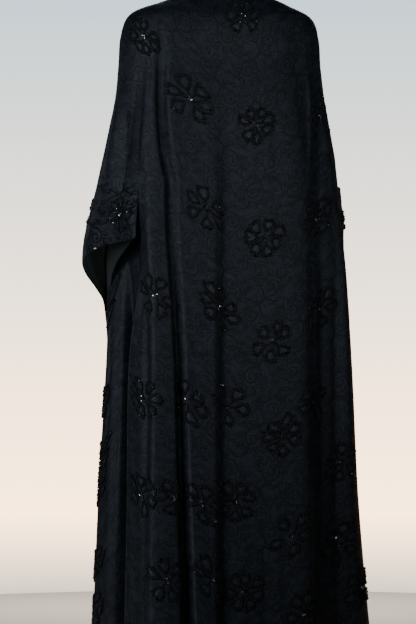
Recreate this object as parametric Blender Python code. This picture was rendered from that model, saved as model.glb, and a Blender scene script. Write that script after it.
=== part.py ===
"""Abaya cloak of black jacquard, hollow and standing as it hangs on a wearer.

The cloak is cut kimono fashion: the back runs on into the back half of both
wide sleeves, and each front into the front half of its own. Seams run over
each shoulder and arm to the cuff, and under each arm down to the hem.

+Z is up and +X is the wearer's left. The fronts face -Y. The origin is the
middle of the shoulder line, at the side of the neck. Lengths in the tables are
millimetres, and a drop is measured down from the origin.
"""
import math

import bmesh
import bpy
import numpy as np
from mathutils import Vector

MM = 0.001
CLOTH = 2.0 * MM
SEAM_GAP = 0.3 * MM
APPLIQUE_RISE = 2.4 * MM
BAND_HEIGHT = 16
BAND_LEAN = 5
BAND_COLUMNS = 40
NECK_CENTRE_Y = -10
PANEL_COLOURS = {
    "back": (0.012, 0.015, 0.018),
    "front_left": (0.013, 0.015, 0.019),
    "front_right": (0.011, 0.014, 0.018),
}
BAND_COLOUR = (0.008, 0.009, 0.011)

YOKE_DROP = 155
SPLIT_DROP = 420
HEM_DROP = 1470

YOKE_ROWS = 6
CAPE_ROWS = 5
BODY_ROWS = 19
SLEEVE_ROWS = 5

# Stations are numbered round the cloak: 0 front edge, 1 front, 2 front corner, 3 to 5 arm or
# side, 6 back corner and 7 back on the wearer's left, 8 centre back, then 9 back, 10 back
# corner, 11 to 13 arm or side, 14 front corner, 15 front and 16 front edge on the right.
FRONT_CORNER, ARM, BACK_CORNER, CENTRE_BACK = 2, 4, 6, 8
LAST_STATION = 16

# The neck edge at stations 0 to 8: x, y, z. The right half mirrors it.
NECK = (
    (9, -82, -72), (42, -72, -55), (64, -45, -28), (71, -24, -10), (74, -4, 0),
    (71, 20, -1), (60, 38, -4), (34, 54, -9), (0, 60, -11),
)

# How the cloth leaves the neck: share of the way out, share of the way down.
SHOULDER = ((0, 0), (0.46, 0.16), (0.89, 0.38), (0.975, 0.65), (1, 1))

# drop, then x, y at: front edge, front, front corner, back corner, back, centre back
TRUNK_LEFT = (
    (155, 9, -118, 100, -112, 180, -95, 190, 72, 105, 98, 0, 105),
    (230, 10, -130, 103, -126, 188, -108, 205, 72, 118, 106, 0, 115),
    (305, 11, -140, 105, -137, 196, -120, 218, 72, 125, 112, 0, 122),
    (420, 12, -150, 110, -148, 208, -130, 230, 70, 135, 118, 0, 128),
    (560, 15, -158, 120, -150, 232, -88, 226, 92, 135, 125, 0, 133),
    (800, 20, -172, 130, -158, 243, -84, 228, 115, 130, 135, 0, 142),
    (1100, 25, -205, 140, -190, 255, -90, 238, 135, 135, 165, 0, 175),
    (1470, 30, -240, 150, -225, 264, -98, 250, 160, 140, 205, 0, 215),
)

# drop, then x, y at: back, back corner, front corner, front, front edge
TRUNK_RIGHT = (
    (155, -105, 98, -176, 74, -172, -95, -100, -112, -9, -118),
    (230, -114, 106, -190, 78, -182, -110, -103, -126, -10, -130),
    (305, -122, 114, -203, 84, -194, -122, -105, -137, -11, -140),
    (420, -130, 122, -217, 92, -205, -132, -110, -148, -12, -150),
    (560, -135, 126, -234, 98, -222, -118, -120, -150, -15, -158),
    (800, -140, 138, -248, 108, -250, -105, -130, -160, -20, -172),
    (1100, -145, 168, -257, 124, -262, -115, -140, -190, -25, -205),
    (1470, -150, 208, -279, 155, -280, -130, -150, -225, -30, -240),
)

# drop, then x, y at: arm front, arm, arm back
ARM_LEFT = (
    (155, 218, -68, 245, -15, 232, 35),
    (230, 222, -80, 249, -25, 240, 30),
    (305, 236, -90, 262, -32, 249, 28),
    (420, 257, -112, 282, -50, 269, 18),
    (560, 278, -138, 305, -82, 288, -12),
    (700, 227, -164, 290, -110, 280, -30),
    (830, 228, -176, 280, -120, 270, -40),
)
ARM_RIGHT = (
    (155, -202, -68, -216, -15, -203, 36),
    (230, -212, -80, -226, -20, -213, 36),
    (305, -226, -94, -242, -30, -224, 38),
    (420, -248, -114, -269, -50, -245, 30),
    (560, -276, -150, -303, -92, -277, -28),
    (700, -250, -172, -300, -120, -274, -40),
    (830, -240, -184, -294, -130, -268, -50),
)

# drop, then x, y at: side front, side, side back, of the body's wall under the arm
SIDE_LEFT = (
    (420, 220, -85, 222, -30, 226, 25),
    (560, 222, -52, 205, -12, 214, 42),
    (800, 226, -45, 203, -5, 238, 40),
    (1100, 232, -50, 206, -2, 246, 48),
    (1470, 242, -54, 212, 0, 256, 55),
)
SIDE_RIGHT = (
    (420, -216, -85, -222, -25, -226, 40),
    (560, -222, -62, -208, -12, -230, 42),
    (800, -240, -60, -222, -8, -244, 46),
    (1100, -254, -65, -232, 0, -256, 60),
    (1470, -272, -65, -245, 5, -280, 75),
)

# drop, then x, y at: back corner, inner back, inner, inner front, front corner, of the
# sleeve's own tube under the split
SLEEVE_LEFT = (
    (420, 230, 70, 226, 25, 222, -30, 220, -85, 208, -130),
    (560, 239, 76, 237, 32, 246, -46, 240, -112, 226, -168),
    (700, 240, 44, 238, 2, 238, -78, 226, -140, 214, -188),
    (830, 244, 0, 240, -40, 232, -100, 220, -150, 212, -194),
)
SLEEVE_RIGHT = (
    (420, -215, 92, -226, 40, -222, -25, -216, -85, -205, -132),
    (560, -256, 26, -253, -6, -252, -62, -240, -122, -222, -172),
    (700, -254, 0, -250, -34, -246, -92, -232, -150, -216, -190),
    (830, -250, -10, -246, -54, -240, -110, -226, -158, -212, -196),
)

# Drop of the cuff's edge at: front corner, arm front, arm, arm back, back corner, inner
# back, inner, inner front
CUFF_LEFT = (804, 668, 589, 556, 540, 550, 610, 715)
CUFF_RIGHT = (780, 660, 588, 560, 552, 558, 612, 705)

# Folds of the trunk in order round the cloak. Each is a ridge or a hollow: its station at the
# split and at the hem, and how far it stands out at the split and at the hem.
FRONT_FOLDS = (
    (0.00, 0.00, 0, 0),
    (0.30, 0.34, 5, 22),
    (0.62, 0.66, -6, -20),
    (0.98, 1.00, 6, 24),
    (1.38, 1.34, -6, -22),
    (1.70, 1.66, 4, 14),
    (2.00, 2.00, 0, 0),
)
BACK_FOLDS = (
    (6.00, 6.00, 0, 0),
    (6.28, 6.20, 7, 14),
    (6.52, 6.69, 6, 15),
    (6.64, 6.84, -12, -28),
    (6.86, 6.98, 3, 10),
    (7.18, 7.14, 4, 11),
    (7.44, 7.27, -8, -22),
    (7.72, 7.53, 2, 12),
    (7.96, 7.80, -3, -12),
    (8.24, 8.28, 6, 14),
    (8.58, 8.72, 6, 18),
    (8.88, 8.87, -8, -26),
    (9.38, 9.06, -10, -24),
    (9.74, 9.48, 8, 16),
    (10.0, 10.0, 0, 0),
)
# Folds of the arms: station, and how far each stands out where the sleeve parts
ARM_FOLDS = ((2, 0), (2.7, 4), (3.35, -4), (4, 2), (4.7, 3), (5.35, -7), (6, 0))

# Above this drop, on the shoulders, the cloth lies without folds.
FOLDS_START = 60
# Over this height under the split, the trunk's ring takes leave of the arm.
PART_WAYS = 120
SEEN_COLUMNS = 3
FRONT_COLUMNS = 2
SHARPEST_BEND = 0.5
# Where sleeve and body part, the cloth turns over a sharp bend this many walls deep.
CROTCH_BEND = 1.5
STEP = 1e-3

# Flowers on the back, as station, drop and radius
FLOWERS_SEEN = (
    (7.90, 52, 38), (5.60, 95, 44), (6.93, 241, 52), (8.16, 295, 46), (9.80, 273, 44),
    (7.28, 477, 46), (8.25, 538, 46), (9.53, 494, 46), (6.27, 662, 46), (7.46, 688, 46),
    (9.26, 688, 44), (8.35, 761, 46), (5.90, 882, 44), (6.86, 886, 46), (7.58, 897, 46),
    (8.98, 890, 44), (8.42, 965, 44), (9.56, 1021, 44), (5.90, 1084, 44), (6.62, 1090, 44),
    (7.12, 1105, 44), (7.65, 1101, 44), (8.48, 1172, 46), (9.45, 1198, 44), (6.48, 1262, 46),
    (7.22, 1262, 44), (7.75, 1290, 44), (8.61, 1337, 46), (9.75, 1294, 44), (6.30, 1415, 42),
    (7.25, 1410, 42), (8.20, 1420, 42), (9.15, 1412, 42), (2.40, 897, 42), (2.40, 1084, 42),
    (2.40, 1251, 42),
)
# Flowers on the left sleeve and the right, as sleeve station, drop and radius
SLEEVE_FLOWERS = (
    ("left", 3.2, 480, 42), ("left", 1.1, 470, 42), ("left", 6.0, 500, 40),
    ("right", 3.0, 470, 42), ("right", 1.2, 500, 42), ("right", 6.0, 505, 40),
)
# The fronts and sides carry theirs in staggered rows, at these stations.
FRONT_ROWS = ((0.5, 1.4), (0.95, 1.8, 3.4))
FRONT_ROWS_FROM = 200
FRONT_ROW_PITCH = 165
FRONT_RADIUS = 45
FLOWER_PETALS = 6
LONG_EDGE = 30 * MM


def smooth_through(knots, values, places):
    """Read a smooth curve through the values at the knots."""
    knots = np.asarray(knots, float)
    values = np.asarray(values, float)
    steps = np.diff(knots)[:, None]
    rises = np.diff(values, axis=0) / steps
    slopes = np.vstack([rises[:1], rises[:1], rises[1:]])
    slopes[1:-1] = (rises[:-1] * steps[1:] + rises[1:] * steps[:-1]) / (steps[:-1] + steps[1:])
    at = np.clip(np.searchsorted(knots, places, side="right") - 1, 0, len(steps) - 1)
    t = ((places - knots[at]) / steps[at, 0])[:, None]
    rise = steps[at]
    return (
        values[at] * (1 + 2 * t) * (1 - t) ** 2
        + values[at + 1] * t * t * (3 - 2 * t)
        + slopes[at] * rise * t * (1 - t) ** 2
        - slopes[at + 1] * rise * t * t * (1 - t)
    )


def ease(share):
    share = np.clip(share, 0, 1)
    return share * share * (3 - 2 * share)


def section(table, drop):
    """The x, y points of one section, between the table's rows."""
    rows = np.asarray(table, float)
    at = np.array([float(drop)])
    return smooth_through(rows[:, 0], rows[:, 1:], at)[0].reshape(-1, 2)


def cape_ring(drop):
    """The 17 stations of the whole cloak above the split."""
    left = section(TRUNK_LEFT, drop)
    right = section(TRUNK_RIGHT, drop)
    arm_left = section(ARM_LEFT, drop)
    arm_right = section(ARM_RIGHT, drop)[::-1]
    return np.vstack([left[:3], arm_left, left[3:], right[:2], arm_right, right[2:]])


def body_ring(drop):
    """The 17 stations of the body under the split."""
    left = section(TRUNK_LEFT, drop)
    right = section(TRUNK_RIGHT, drop)
    side_left = section(SIDE_LEFT, drop)
    side_right = section(SIDE_RIGHT, drop)[::-1]
    return np.vstack([left[:3], side_left, left[3:], right[:2], side_right, right[2:]])


def along_ring(controls, stations):
    """Points of the smooth ring through the controls, at whole or part stations."""
    lengths = np.linalg.norm(np.diff(controls, axis=0), axis=1)
    knots = np.concatenate([[0], np.cumsum(lengths)])
    places = np.interp(stations, np.arange(len(controls)), knots)
    return smooth_through(knots, controls, places)


def outward(controls, stations):
    """Unit vectors that point out of the ring."""
    last = len(controls) - 1
    ahead = along_ring(controls, np.clip(stations + STEP, 0, last))
    behind = along_ring(controls, np.clip(stations - STEP, 0, last))
    along = ahead - behind
    along /= np.linalg.norm(along, axis=1)[:, None]
    return np.column_stack([along[:, 1], -along[:, 0]])


def trunk_folds():
    """Folds all round: station at the split and hem, depth at the split and hem."""
    front = np.array(FRONT_FOLDS, float)
    other = front[::-1] * (1, 1, 0.9, 1.1)
    other[:, :2] = LAST_STATION - other[:, :2]
    side_left = [(s, s, 0, 0) for s in (3, 4, 5)]
    side_right = [(s, s, 0, 0) for s in (11, 12, 13)]
    return np.vstack([front, side_left, BACK_FOLDS, side_right, other])


FOLDS = trunk_folds()


def make_columns():
    """Column places as fold numbers, whole at each ridge and hollow."""
    columns = []
    for number, station in enumerate(FOLDS[:-1, 0]):
        seen = FRONT_CORNER <= station < LAST_STATION - FRONT_CORNER
        count = SEEN_COLUMNS if seen else FRONT_COLUMNS
        columns.extend(number + k / count for k in range(count))
    return np.array(columns + [len(FOLDS) - 1.0])


def stations_of(columns, drop):
    """The columns' stations, which follow the folds as they wander down the cloth."""
    share = np.clip((drop - SPLIT_DROP) / (HEM_DROP - SPLIT_DROP), 0, 1)
    places = FOLDS[:, 0] * (1 - share) + FOLDS[:, 1] * share
    return np.interp(columns, np.arange(len(FOLDS)), places)


def fold_depths(columns, drop, arms_too):
    """How far each column stands out from the smooth ring."""
    share = np.clip((drop - SPLIT_DROP) / (HEM_DROP - SPLIT_DROP), 0, 1)
    depths = FOLDS[:, 2] * (1 - share) + FOLDS[:, 3] * share
    lower = np.clip(columns.astype(int), 0, len(FOLDS) - 2)
    part = ease(columns - lower)
    depth = depths[lower] * (1 - part) + depths[lower + 1] * part
    if arms_too:
        arm = np.array(ARM_FOLDS, float)
        stations = stations_of(columns, drop)
        nearer = np.minimum(stations, LAST_STATION - stations)
        depth = depth + np.interp(nearer, arm[:, 0], arm[:, 1])
    return depth * ease((drop - FOLDS_START) / (SPLIT_DROP - FOLDS_START))


def ring_points(controls, stations, depth, drop):
    points = along_ring(controls, stations) + outward(controls, stations) * depth[:, None]
    return np.column_stack([points, np.full(len(points), -float(drop))])


def cape_row(columns, drop):
    """A row of points round the whole cloak above the split."""
    depth = fold_depths(columns, drop, True)
    return ring_points(cape_ring(drop), stations_of(columns, drop), depth, drop)


def body_row(columns, drop):
    """A row of points round the body under the split, with its walls under the arms."""
    stations = stations_of(columns, drop)
    depth = fold_depths(columns, drop, False)
    walls = body_ring(drop)
    eased = cape_ring(SPLIT_DROP)
    share = ease((drop - SPLIT_DROP) / PART_WAYS)
    for side in (slice(3, 6), slice(11, 14)):
        eased[side] += (walls[side] - eased[side]) * share
    trunk = walls.copy()
    trunk[3:6] = eased[3:6]
    trunk[11:14] = eased[11:14]
    points = ring_points(trunk, stations, depth, drop)
    nearer = np.minimum(stations, LAST_STATION - stations)
    in_wall = (nearer > FRONT_CORNER) & (nearer < BACK_CORNER)
    points[in_wall] = ring_points(walls, stations, depth, drop)[in_wall]
    return points


def yoke_rows(columns):
    """Rows of points from the neck's edge out over the shoulders."""
    half = np.array(NECK, float)
    neck = np.vstack([half, half[-2::-1] * (-1, 1, 1)])
    top = along_ring(neck, stations_of(columns, 0))
    ring = cape_row(columns, YOKE_DROP)
    profile = np.array(SHOULDER, float)
    lengths = np.linalg.norm(np.diff(profile, axis=0), axis=1)
    knots = np.concatenate([[0], np.cumsum(lengths)])
    rows = []
    for place in np.linspace(0, knots[-1], YOKE_ROWS + 1):
        out, down = smooth_through(knots, profile, np.array([place]))[0]
        rows.append(top + (ring - top) * (out, out, down))
    return rows


def sleeve_point(tables, station, drop):
    """A point of a sleeve's tube: stations 0 to 4 are outside, 4 to 8 inside."""
    arm_table, own_table, trunk_ring = tables
    arm = section(arm_table, drop)
    back_corner, inner_back, inner, inner_front, front_corner = section(own_table, drop)
    share = ease((drop - SPLIT_DROP) / PART_WAYS)
    before = trunk_ring[1] + (inner_front - trunk_ring[1]) * share
    after = trunk_ring[7] + (inner_back - trunk_ring[7]) * share
    outer = np.vstack([before, front_corner, arm, back_corner, after])
    inside = np.vstack([arm[2], back_corner, inner_back, inner, inner_front, front_corner, arm[0]])
    controls = outer if station <= 4 else inside
    place = station + 1 if station <= 4 else station - 3
    point = along_ring(controls, np.array([place]))[0]
    if station < 4:
        fold = np.array(ARM_FOLDS, float)
        depth = np.interp(station + FRONT_CORNER, fold[:, 0], fold[:, 1])
        point = point + outward(controls, np.array([place]))[0] * depth
    return (point[0], point[1], -drop)


class Cloth:
    """The cloak's outer face: points, and faces with the piece that each belongs to."""

    def __init__(self):
        self.points = []
        self.faces = []
        self.pieces = []
        self.crotch = []

    def add(self, rows):
        """Add rows of points and give back their numbers."""
        numbers = []
        for row in rows:
            start = len(self.points)
            self.points.extend(row)
            numbers.append(list(range(start, start + len(row))))
        return numbers

    def weave(self, numbers, piece_of):
        """Join rows of numbered points with faces that look outward."""
        for upper, lower in zip(numbers, numbers[1:]):
            for k in range(len(upper) - 1):
                self.faces.append((upper[k], lower[k], lower[k + 1], upper[k + 1]))
                self.pieces.append(piece_of(k))


def trunk_piece(stations):
    """A function that names the piece right of a column of the trunk."""

    def piece_of(k):
        middle = (stations[k] + stations[k + 1]) / 2
        if middle < ARM:
            return "front_left"
        return "back" if middle < LAST_STATION - ARM else "front_right"

    return piece_of


def weave_sleeve(cloth, outer_top, inner_top, arc, side):
    """Weave a sleeve's tube from its top rows, listed from front to back corner."""
    tables, cuff = SLEEVES[side]
    loop = np.concatenate([arc - FRONT_CORNER, 10 - arc[-2:0:-1]])
    ends = smooth_through(np.arange(9), np.array(cuff + cuff[:1], float)[:, None], loop)[:, 0]
    rows = []
    for share in np.linspace(0, 1, SLEEVE_ROWS + 1)[1:]:
        drops = SPLIT_DROP + (ends - SPLIT_DROP) * share
        rows.append([sleeve_point(tables, s, drop) for s, drop in zip(loop, drops)])
    numbers = [list(outer_top) + list(inner_top[-2:0:-1])] + cloth.add(rows)
    numbers = [row + row[:1] for row in numbers]
    round_it = np.append(loop, 8)
    if side == "right":
        numbers = [row[::-1] for row in numbers]
        round_it = round_it[::-1]

    def piece_of(k):
        middle = (round_it[k] + round_it[k + 1]) / 2
        return "back" if 2 < middle < 6 else "front_" + side

    cloth.weave(numbers, piece_of)


SLEEVES = {
    "left": ((ARM_LEFT, SLEEVE_LEFT, cape_ring(SPLIT_DROP)), CUFF_LEFT),
    "right": ((ARM_RIGHT, SLEEVE_RIGHT, cape_ring(SPLIT_DROP)[::-1]), CUFF_RIGHT),
}


def make_cloth():
    """The whole outer face, in one continuous mesh."""
    cloth = Cloth()
    columns = make_columns()
    stations = stations_of(columns, SPLIT_DROP)
    drops = np.linspace(YOKE_DROP, SPLIT_DROP, CAPE_ROWS + 1)[1:]
    cape = cloth.add(yoke_rows(columns) + [cape_row(columns, drop) for drop in drops])
    cloth.weave(cape, trunk_piece(stations))
    mirrored = np.minimum(stations, LAST_STATION - stations)
    under_arm = (mirrored > FRONT_CORNER) & (mirrored < BACK_CORNER)
    cloth.crotch = cloth.add([body_row(columns, SPLIT_DROP)[under_arm]])[0]
    top = np.array(cape[-1])
    top[under_arm] = cloth.crotch
    drops = np.linspace(SPLIT_DROP, HEM_DROP, BODY_ROWS + 1)[1:]
    body = cloth.add([body_row(columns, drop) for drop in drops])
    cloth.weave([list(top)] + body, trunk_piece(stations))
    for side in ("left", "right"):
        own = stations if side == "left" else LAST_STATION - stations
        arc = np.flatnonzero((own >= FRONT_CORNER) & (own <= BACK_CORNER))
        arc = arc if side == "left" else arc[::-1]
        outer = np.array(cape[-1])[arc]
        weave_sleeve(cloth, outer, top[arc], own[arc], side)
    return cloth


def point_normals(points, faces):
    """Normals of the whole cloth, lengthened where the cloth bends sharply."""
    quads = points[np.array(faces)]
    flat = np.cross(quads[:, 2] - quads[:, 0], quads[:, 3] - quads[:, 1])
    flat /= np.linalg.norm(flat, axis=1)[:, None]
    normals = np.zeros_like(points)
    for corner in range(4):
        np.add.at(normals, np.array(faces)[:, corner], flat)
    normals /= np.linalg.norm(normals, axis=1)[:, None]
    slant = np.zeros(len(points))
    count = np.zeros(len(points))
    for corner in range(4):
        at = np.array(faces)[:, corner]
        np.add.at(slant, at, np.einsum("ij,ij->i", normals[at], flat))
        np.add.at(count, at, 1)
    return normals / np.clip(slant / count, SHARPEST_BEND, 1)[:, None]


def make_material(name, colour, roughness):
    material = bpy.data.materials.new(name)
    material.use_nodes = True
    shader = material.node_tree.nodes["Principled BSDF"]
    shader.inputs["Base Color"].default_value = (*colour, 1)
    shader.inputs["Roughness"].default_value = roughness
    shader.inputs["Metallic"].default_value = 0
    material.diffuse_color = (*colour, 1)
    return material


def trunk_point(station, drop):
    """A point of the trunk's outer face at a station and a drop."""
    columns = make_columns()
    column = np.array([np.interp(station, stations_of(columns, drop), columns)])
    row = cape_row if drop <= SPLIT_DROP else body_row
    return row(column, drop)[0] * MM


def flower_places():
    """Centres and radii of all the flowers."""
    places = [(trunk_point(s, drop), radius * MM) for s, drop, radius in FLOWERS_SEEN]
    for side, station, drop, radius in SLEEVE_FLOWERS:
        tables = SLEEVES[side][0]
        places.append((np.array(sleeve_point(tables, station, drop)) * MM, radius * MM))
    drops = range(FRONT_ROWS_FROM, HEM_DROP - FRONT_RADIUS, FRONT_ROW_PITCH)
    for number, drop in enumerate(drops):
        for station in FRONT_ROWS[number % 2]:
            if station > FRONT_CORNER and drop < SPLIT_DROP + 3 * FRONT_RADIUS:
                continue
            for place in (station, LAST_STATION - station):
                places.append((trunk_point(place, drop), FRONT_RADIUS * MM))
    return places


def flower_rise(offset, out, radius):
    """How far an applique flower lifts a point at an offset from the flower's centre."""
    across = np.cross((0, 0, 1), out)
    across /= np.linalg.norm(across)
    angle = math.atan2(offset[2], offset.dot(across))
    tip = radius * (0.86 + 0.14 * math.cos(FLOWER_PETALS * angle))
    return APPLIQUE_RISE * float(ease((tip - np.linalg.norm(offset)) / (0.35 * radius)))


def seam_shifts(points, faces, pieces):
    """For each piece, how its points at a seam draw back from the seam."""
    owners = {}
    for face, piece in zip(faces, pieces):
        for start, end in zip(face, face[1:] + face[:1]):
            owners.setdefault(frozenset((start, end)), set()).add(piece)
    shifts = {piece: {} for piece in pieces}
    for face, piece in zip(faces, pieces):
        corners = points[list(face)]
        normal = np.cross(corners[2] - corners[0], corners[3] - corners[1])
        for start, end in zip(face, face[1:] + face[:1]):
            if len(owners[frozenset((start, end))]) < 2:
                continue
            inward = np.cross(normal, points[end] - points[start])
            inward /= np.linalg.norm(inward)
            for number in (start, end):
                shifts[piece].setdefault(number, np.zeros(3))
                shifts[piece][number] += inward
    for own in shifts.values():
        for number, inward in own.items():
            own[number] = inward / np.linalg.norm(inward) * SEAM_GAP / 2
    return shifts


def make_wall(name, points, outs, faces, thickness, material, flowers=()):
    """A closed wall of cloth on the inner side of its outer face, with raised flowers."""
    mesh = bmesh.new()
    out_layer = mesh.verts.layers.float_vector.new("out")
    outside = mesh.faces.layers.int.new("outside")
    outer, inner = {}, {}
    for number in sorted({number for face in faces for number in face}):
        outer[number] = mesh.verts.new(points[number])
        outer[number][out_layer] = outs[number]
        inner[number] = mesh.verts.new(points[number] - outs[number] * thickness)
    directed = set()
    for face in faces:
        mesh.faces.new([outer[number] for number in face])[outside] = 1
        a, b, c, d = face
        mesh.faces.new((inner[a], inner[d], inner[c], inner[b]))
        directed.update(zip(face, face[1:] + face[:1]))
    for start, end in sorted(directed):
        if (end, start) in directed:
            continue
        rim = [outer[end], outer[start], inner[start], inner[end]]
        # Two pieces split the twisted rim of their seam along the same diagonal.
        if start < end:
            rim = rim[1:] + rim[:1]
        mesh.faces.new(rim)
    cut_under_flowers(mesh, outside, flowers)
    raise_flowers(mesh, out_layer, flowers)
    bmesh.ops.triangulate(mesh, faces=mesh.faces[:], quad_method="FIXED")
    data = bpy.data.meshes.new(name)
    mesh.to_mesh(data)
    mesh.free()
    data.materials.append(material)
    return bpy.data.objects.new(name, data)


def cut_under_flowers(mesh, outside, flowers):
    """Cut the outer face finer where a flower lies."""
    cut = []
    for edge in mesh.edges:
        if edge.calc_length() < LONG_EDGE or not all(f[outside] for f in edge.link_faces):
            continue
        middle = np.array((edge.verts[0].co + edge.verts[1].co) / 2)
        if any(np.linalg.norm(middle - centre) < radius for centre, radius in flowers):
            cut.append(edge)
    if cut:
        bmesh.ops.subdivide_edges(mesh, edges=cut, cuts=1, use_grid_fill=True)


def raise_flowers(mesh, out_layer, flowers):
    """Lift the points of the outer face that lie in a flower."""
    for vert in mesh.verts:
        out = np.array(vert[out_layer])
        length = np.linalg.norm(out)
        if length == 0:
            continue
        out /= length
        offsets = [(np.array(vert.co) - centre, radius) for centre, radius in flowers]
        near = [(off, radius) for off, radius in offsets if np.linalg.norm(off) < radius]
        if near:
            rise = max(flower_rise(off, out, radius) for off, radius in near)
            vert.co += Vector(out * rise)


def make_panels(collection, parent):
    cloth = make_cloth()
    points = np.array(cloth.points) * MM
    outs = point_normals(points, cloth.faces)
    outs[cloth.crotch] = (0, 0, -CROTCH_BEND)
    shifts = seam_shifts(points, cloth.faces, cloth.pieces)
    flowers = flower_places()
    for piece, colour in PANEL_COLOURS.items():
        own = points.copy()
        for number, shift in shifts[piece].items():
            own[number] += shift
        faces = [face for face, name in zip(cloth.faces, cloth.pieces) if name == piece]
        material = make_material(piece + "_black_jacquard", colour, 0.55)
        wall = make_wall(piece, own, outs, faces, CLOTH, material, flowers)
        collection.objects.link(wall)
        wall.parent = parent


def make_neck_band(collection, parent):
    """The narrow binding that stands on the neck's edge."""
    half = np.array(NECK, float)
    neck = np.vstack([half, half[-2::-1] * (-1, 1, 1)])
    edge = along_ring(neck, np.linspace(0, LAST_STATION, BAND_COLUMNS + 1))
    inward = -(edge - (0, NECK_CENTRE_Y, 0)) * (1, 1, 0)
    inward /= np.linalg.norm(inward, axis=1)[:, None]
    foot = edge + (0, 0, SEAM_GAP / MM)
    top = foot + inward * BAND_LEAN + (0, 0, BAND_HEIGHT)
    cloth = Cloth()
    cloth.weave(cloth.add([top, foot]), lambda k: "neck_band")
    points = np.array(cloth.points) * MM
    outs = point_normals(points, cloth.faces)
    material = make_material("neck_band_black_binding", BAND_COLOUR, 0.5)
    band = make_wall("neck_band", points, outs, cloth.faces, CLOTH, material)
    collection.objects.link(band)
    band.parent = parent


def main():
    for old in list(bpy.data.objects):
        bpy.data.objects.remove(old)
    collection = bpy.data.collections.new("abaya_cloak")
    bpy.context.scene.collection.children.link(collection)
    shoulders = bpy.data.objects.new("shoulders", None)
    collection.objects.link(shoulders)
    make_panels(collection, shoulders)
    make_neck_band(collection, shoulders)


main()
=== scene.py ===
"""Abaya cloak of black jacquard with applique flowers, worn open and seen from behind.

+Z is up and +X is the wearer's left. The fronts face -Y. The origin is the middle
of the shoulder line. Lengths in the tables are millimetres unless a name ends in _M,
and a drop is measured down from the origin.
"""
import math
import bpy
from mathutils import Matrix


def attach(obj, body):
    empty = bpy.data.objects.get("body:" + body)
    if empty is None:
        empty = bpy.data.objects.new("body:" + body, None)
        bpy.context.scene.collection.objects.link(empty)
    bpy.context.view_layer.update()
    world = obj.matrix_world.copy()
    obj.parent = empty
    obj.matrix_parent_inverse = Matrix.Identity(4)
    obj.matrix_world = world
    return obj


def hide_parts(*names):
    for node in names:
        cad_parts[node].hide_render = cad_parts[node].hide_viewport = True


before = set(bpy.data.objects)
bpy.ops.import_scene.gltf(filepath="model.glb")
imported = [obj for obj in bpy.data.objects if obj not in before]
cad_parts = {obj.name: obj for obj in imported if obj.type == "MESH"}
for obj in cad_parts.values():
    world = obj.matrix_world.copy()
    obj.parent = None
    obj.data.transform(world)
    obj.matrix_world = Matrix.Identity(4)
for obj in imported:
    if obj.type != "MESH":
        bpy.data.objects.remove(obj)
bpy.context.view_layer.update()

import bpy
import numpy as np
from mathutils import Vector

# The back and the back halves of both sleeves
# The real piece is one length of black jacquard, cut kimono fashion, so the back runs on
# into the sleeves. It hangs from the shoulders and falls into long soft folds. Its turned
# hem is 22 mm deep, and seams join it to the fronts over each arm and under it.
MM = 0.001
CLOTH = 1.4
SEAM_GAP = 0.3
YOKE_DROP = 155
SPLIT_DROP = 420
HEM_DROP = 1470
HEM_TURNED = 22
PART_WAYS = 120
FOLDS_START = 60
FRONT_CORNER, ARM, BACK_CORNER, CENTRE_BACK, LAST_STATION = 2, 4, 6, 8, 16
FINE_WIDTH = 6.0
FINE_HEIGHT = 10.0
YOKE_ROWS = 26
SLEEVE_ROWS = 34
STEP = 1e-3
STITCH_ROWS_APART = 3

# The neck edge at stations 0 to 8, from the front edge round to the centre back: x, y, z
NECK = (
    (9, -82, -72), (42, -72, -55), (64, -45, -28), (71, -24, -10), (74, -4, 0),
    (71, 20, -1), (60, 38, -4), (34, 54, -9), (0, 60, -11),
)
# How the cloth leaves the neck: share of the way out, share of the way down
SHOULDER = ((0, 0), (0.46, 0.16), (0.89, 0.38), (0.975, 0.65), (1, 1))
# Drop, then x, y at: front edge, front, front corner, back corner, back, centre back
TRUNK_LEFT = (
    (155, 9, -118, 100, -112, 180, -95, 190, 72, 105, 98, 0, 105),
    (230, 10, -130, 103, -126, 188, -108, 205, 72, 118, 106, 0, 115),
    (305, 11, -140, 105, -137, 196, -120, 218, 72, 125, 112, 0, 122),
    (420, 12, -150, 110, -148, 208, -130, 230, 70, 135, 118, 0, 128),
    (560, 15, -158, 120, -150, 232, -88, 226, 92, 135, 125, 0, 133),
    (800, 20, -172, 130, -158, 243, -84, 228, 115, 130, 135, 0, 142),
    (1100, 25, -205, 140, -190, 255, -90, 238, 135, 135, 165, 0, 175),
    (1470, 30, -240, 150, -225, 264, -98, 250, 160, 140, 205, 0, 215),
)
# Drop, then x, y at: back, back corner, front corner, front, front edge
TRUNK_RIGHT = (
    (155, -105, 98, -176, 74, -172, -95, -100, -112, -9, -118),
    (230, -114, 106, -190, 78, -182, -110, -103, -126, -10, -130),
    (305, -122, 114, -203, 84, -194, -122, -105, -137, -11, -140),
    (420, -130, 122, -217, 92, -205, -132, -110, -148, -12, -150),
    (560, -135, 126, -234, 98, -222, -118, -120, -150, -15, -158),
    (800, -140, 138, -248, 108, -250, -105, -130, -160, -20, -172),
    (1100, -145, 168, -257, 124, -262, -115, -140, -190, -25, -205),
    (1470, -150, 208, -279, 155, -280, -130, -150, -225, -30, -240),
)
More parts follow.
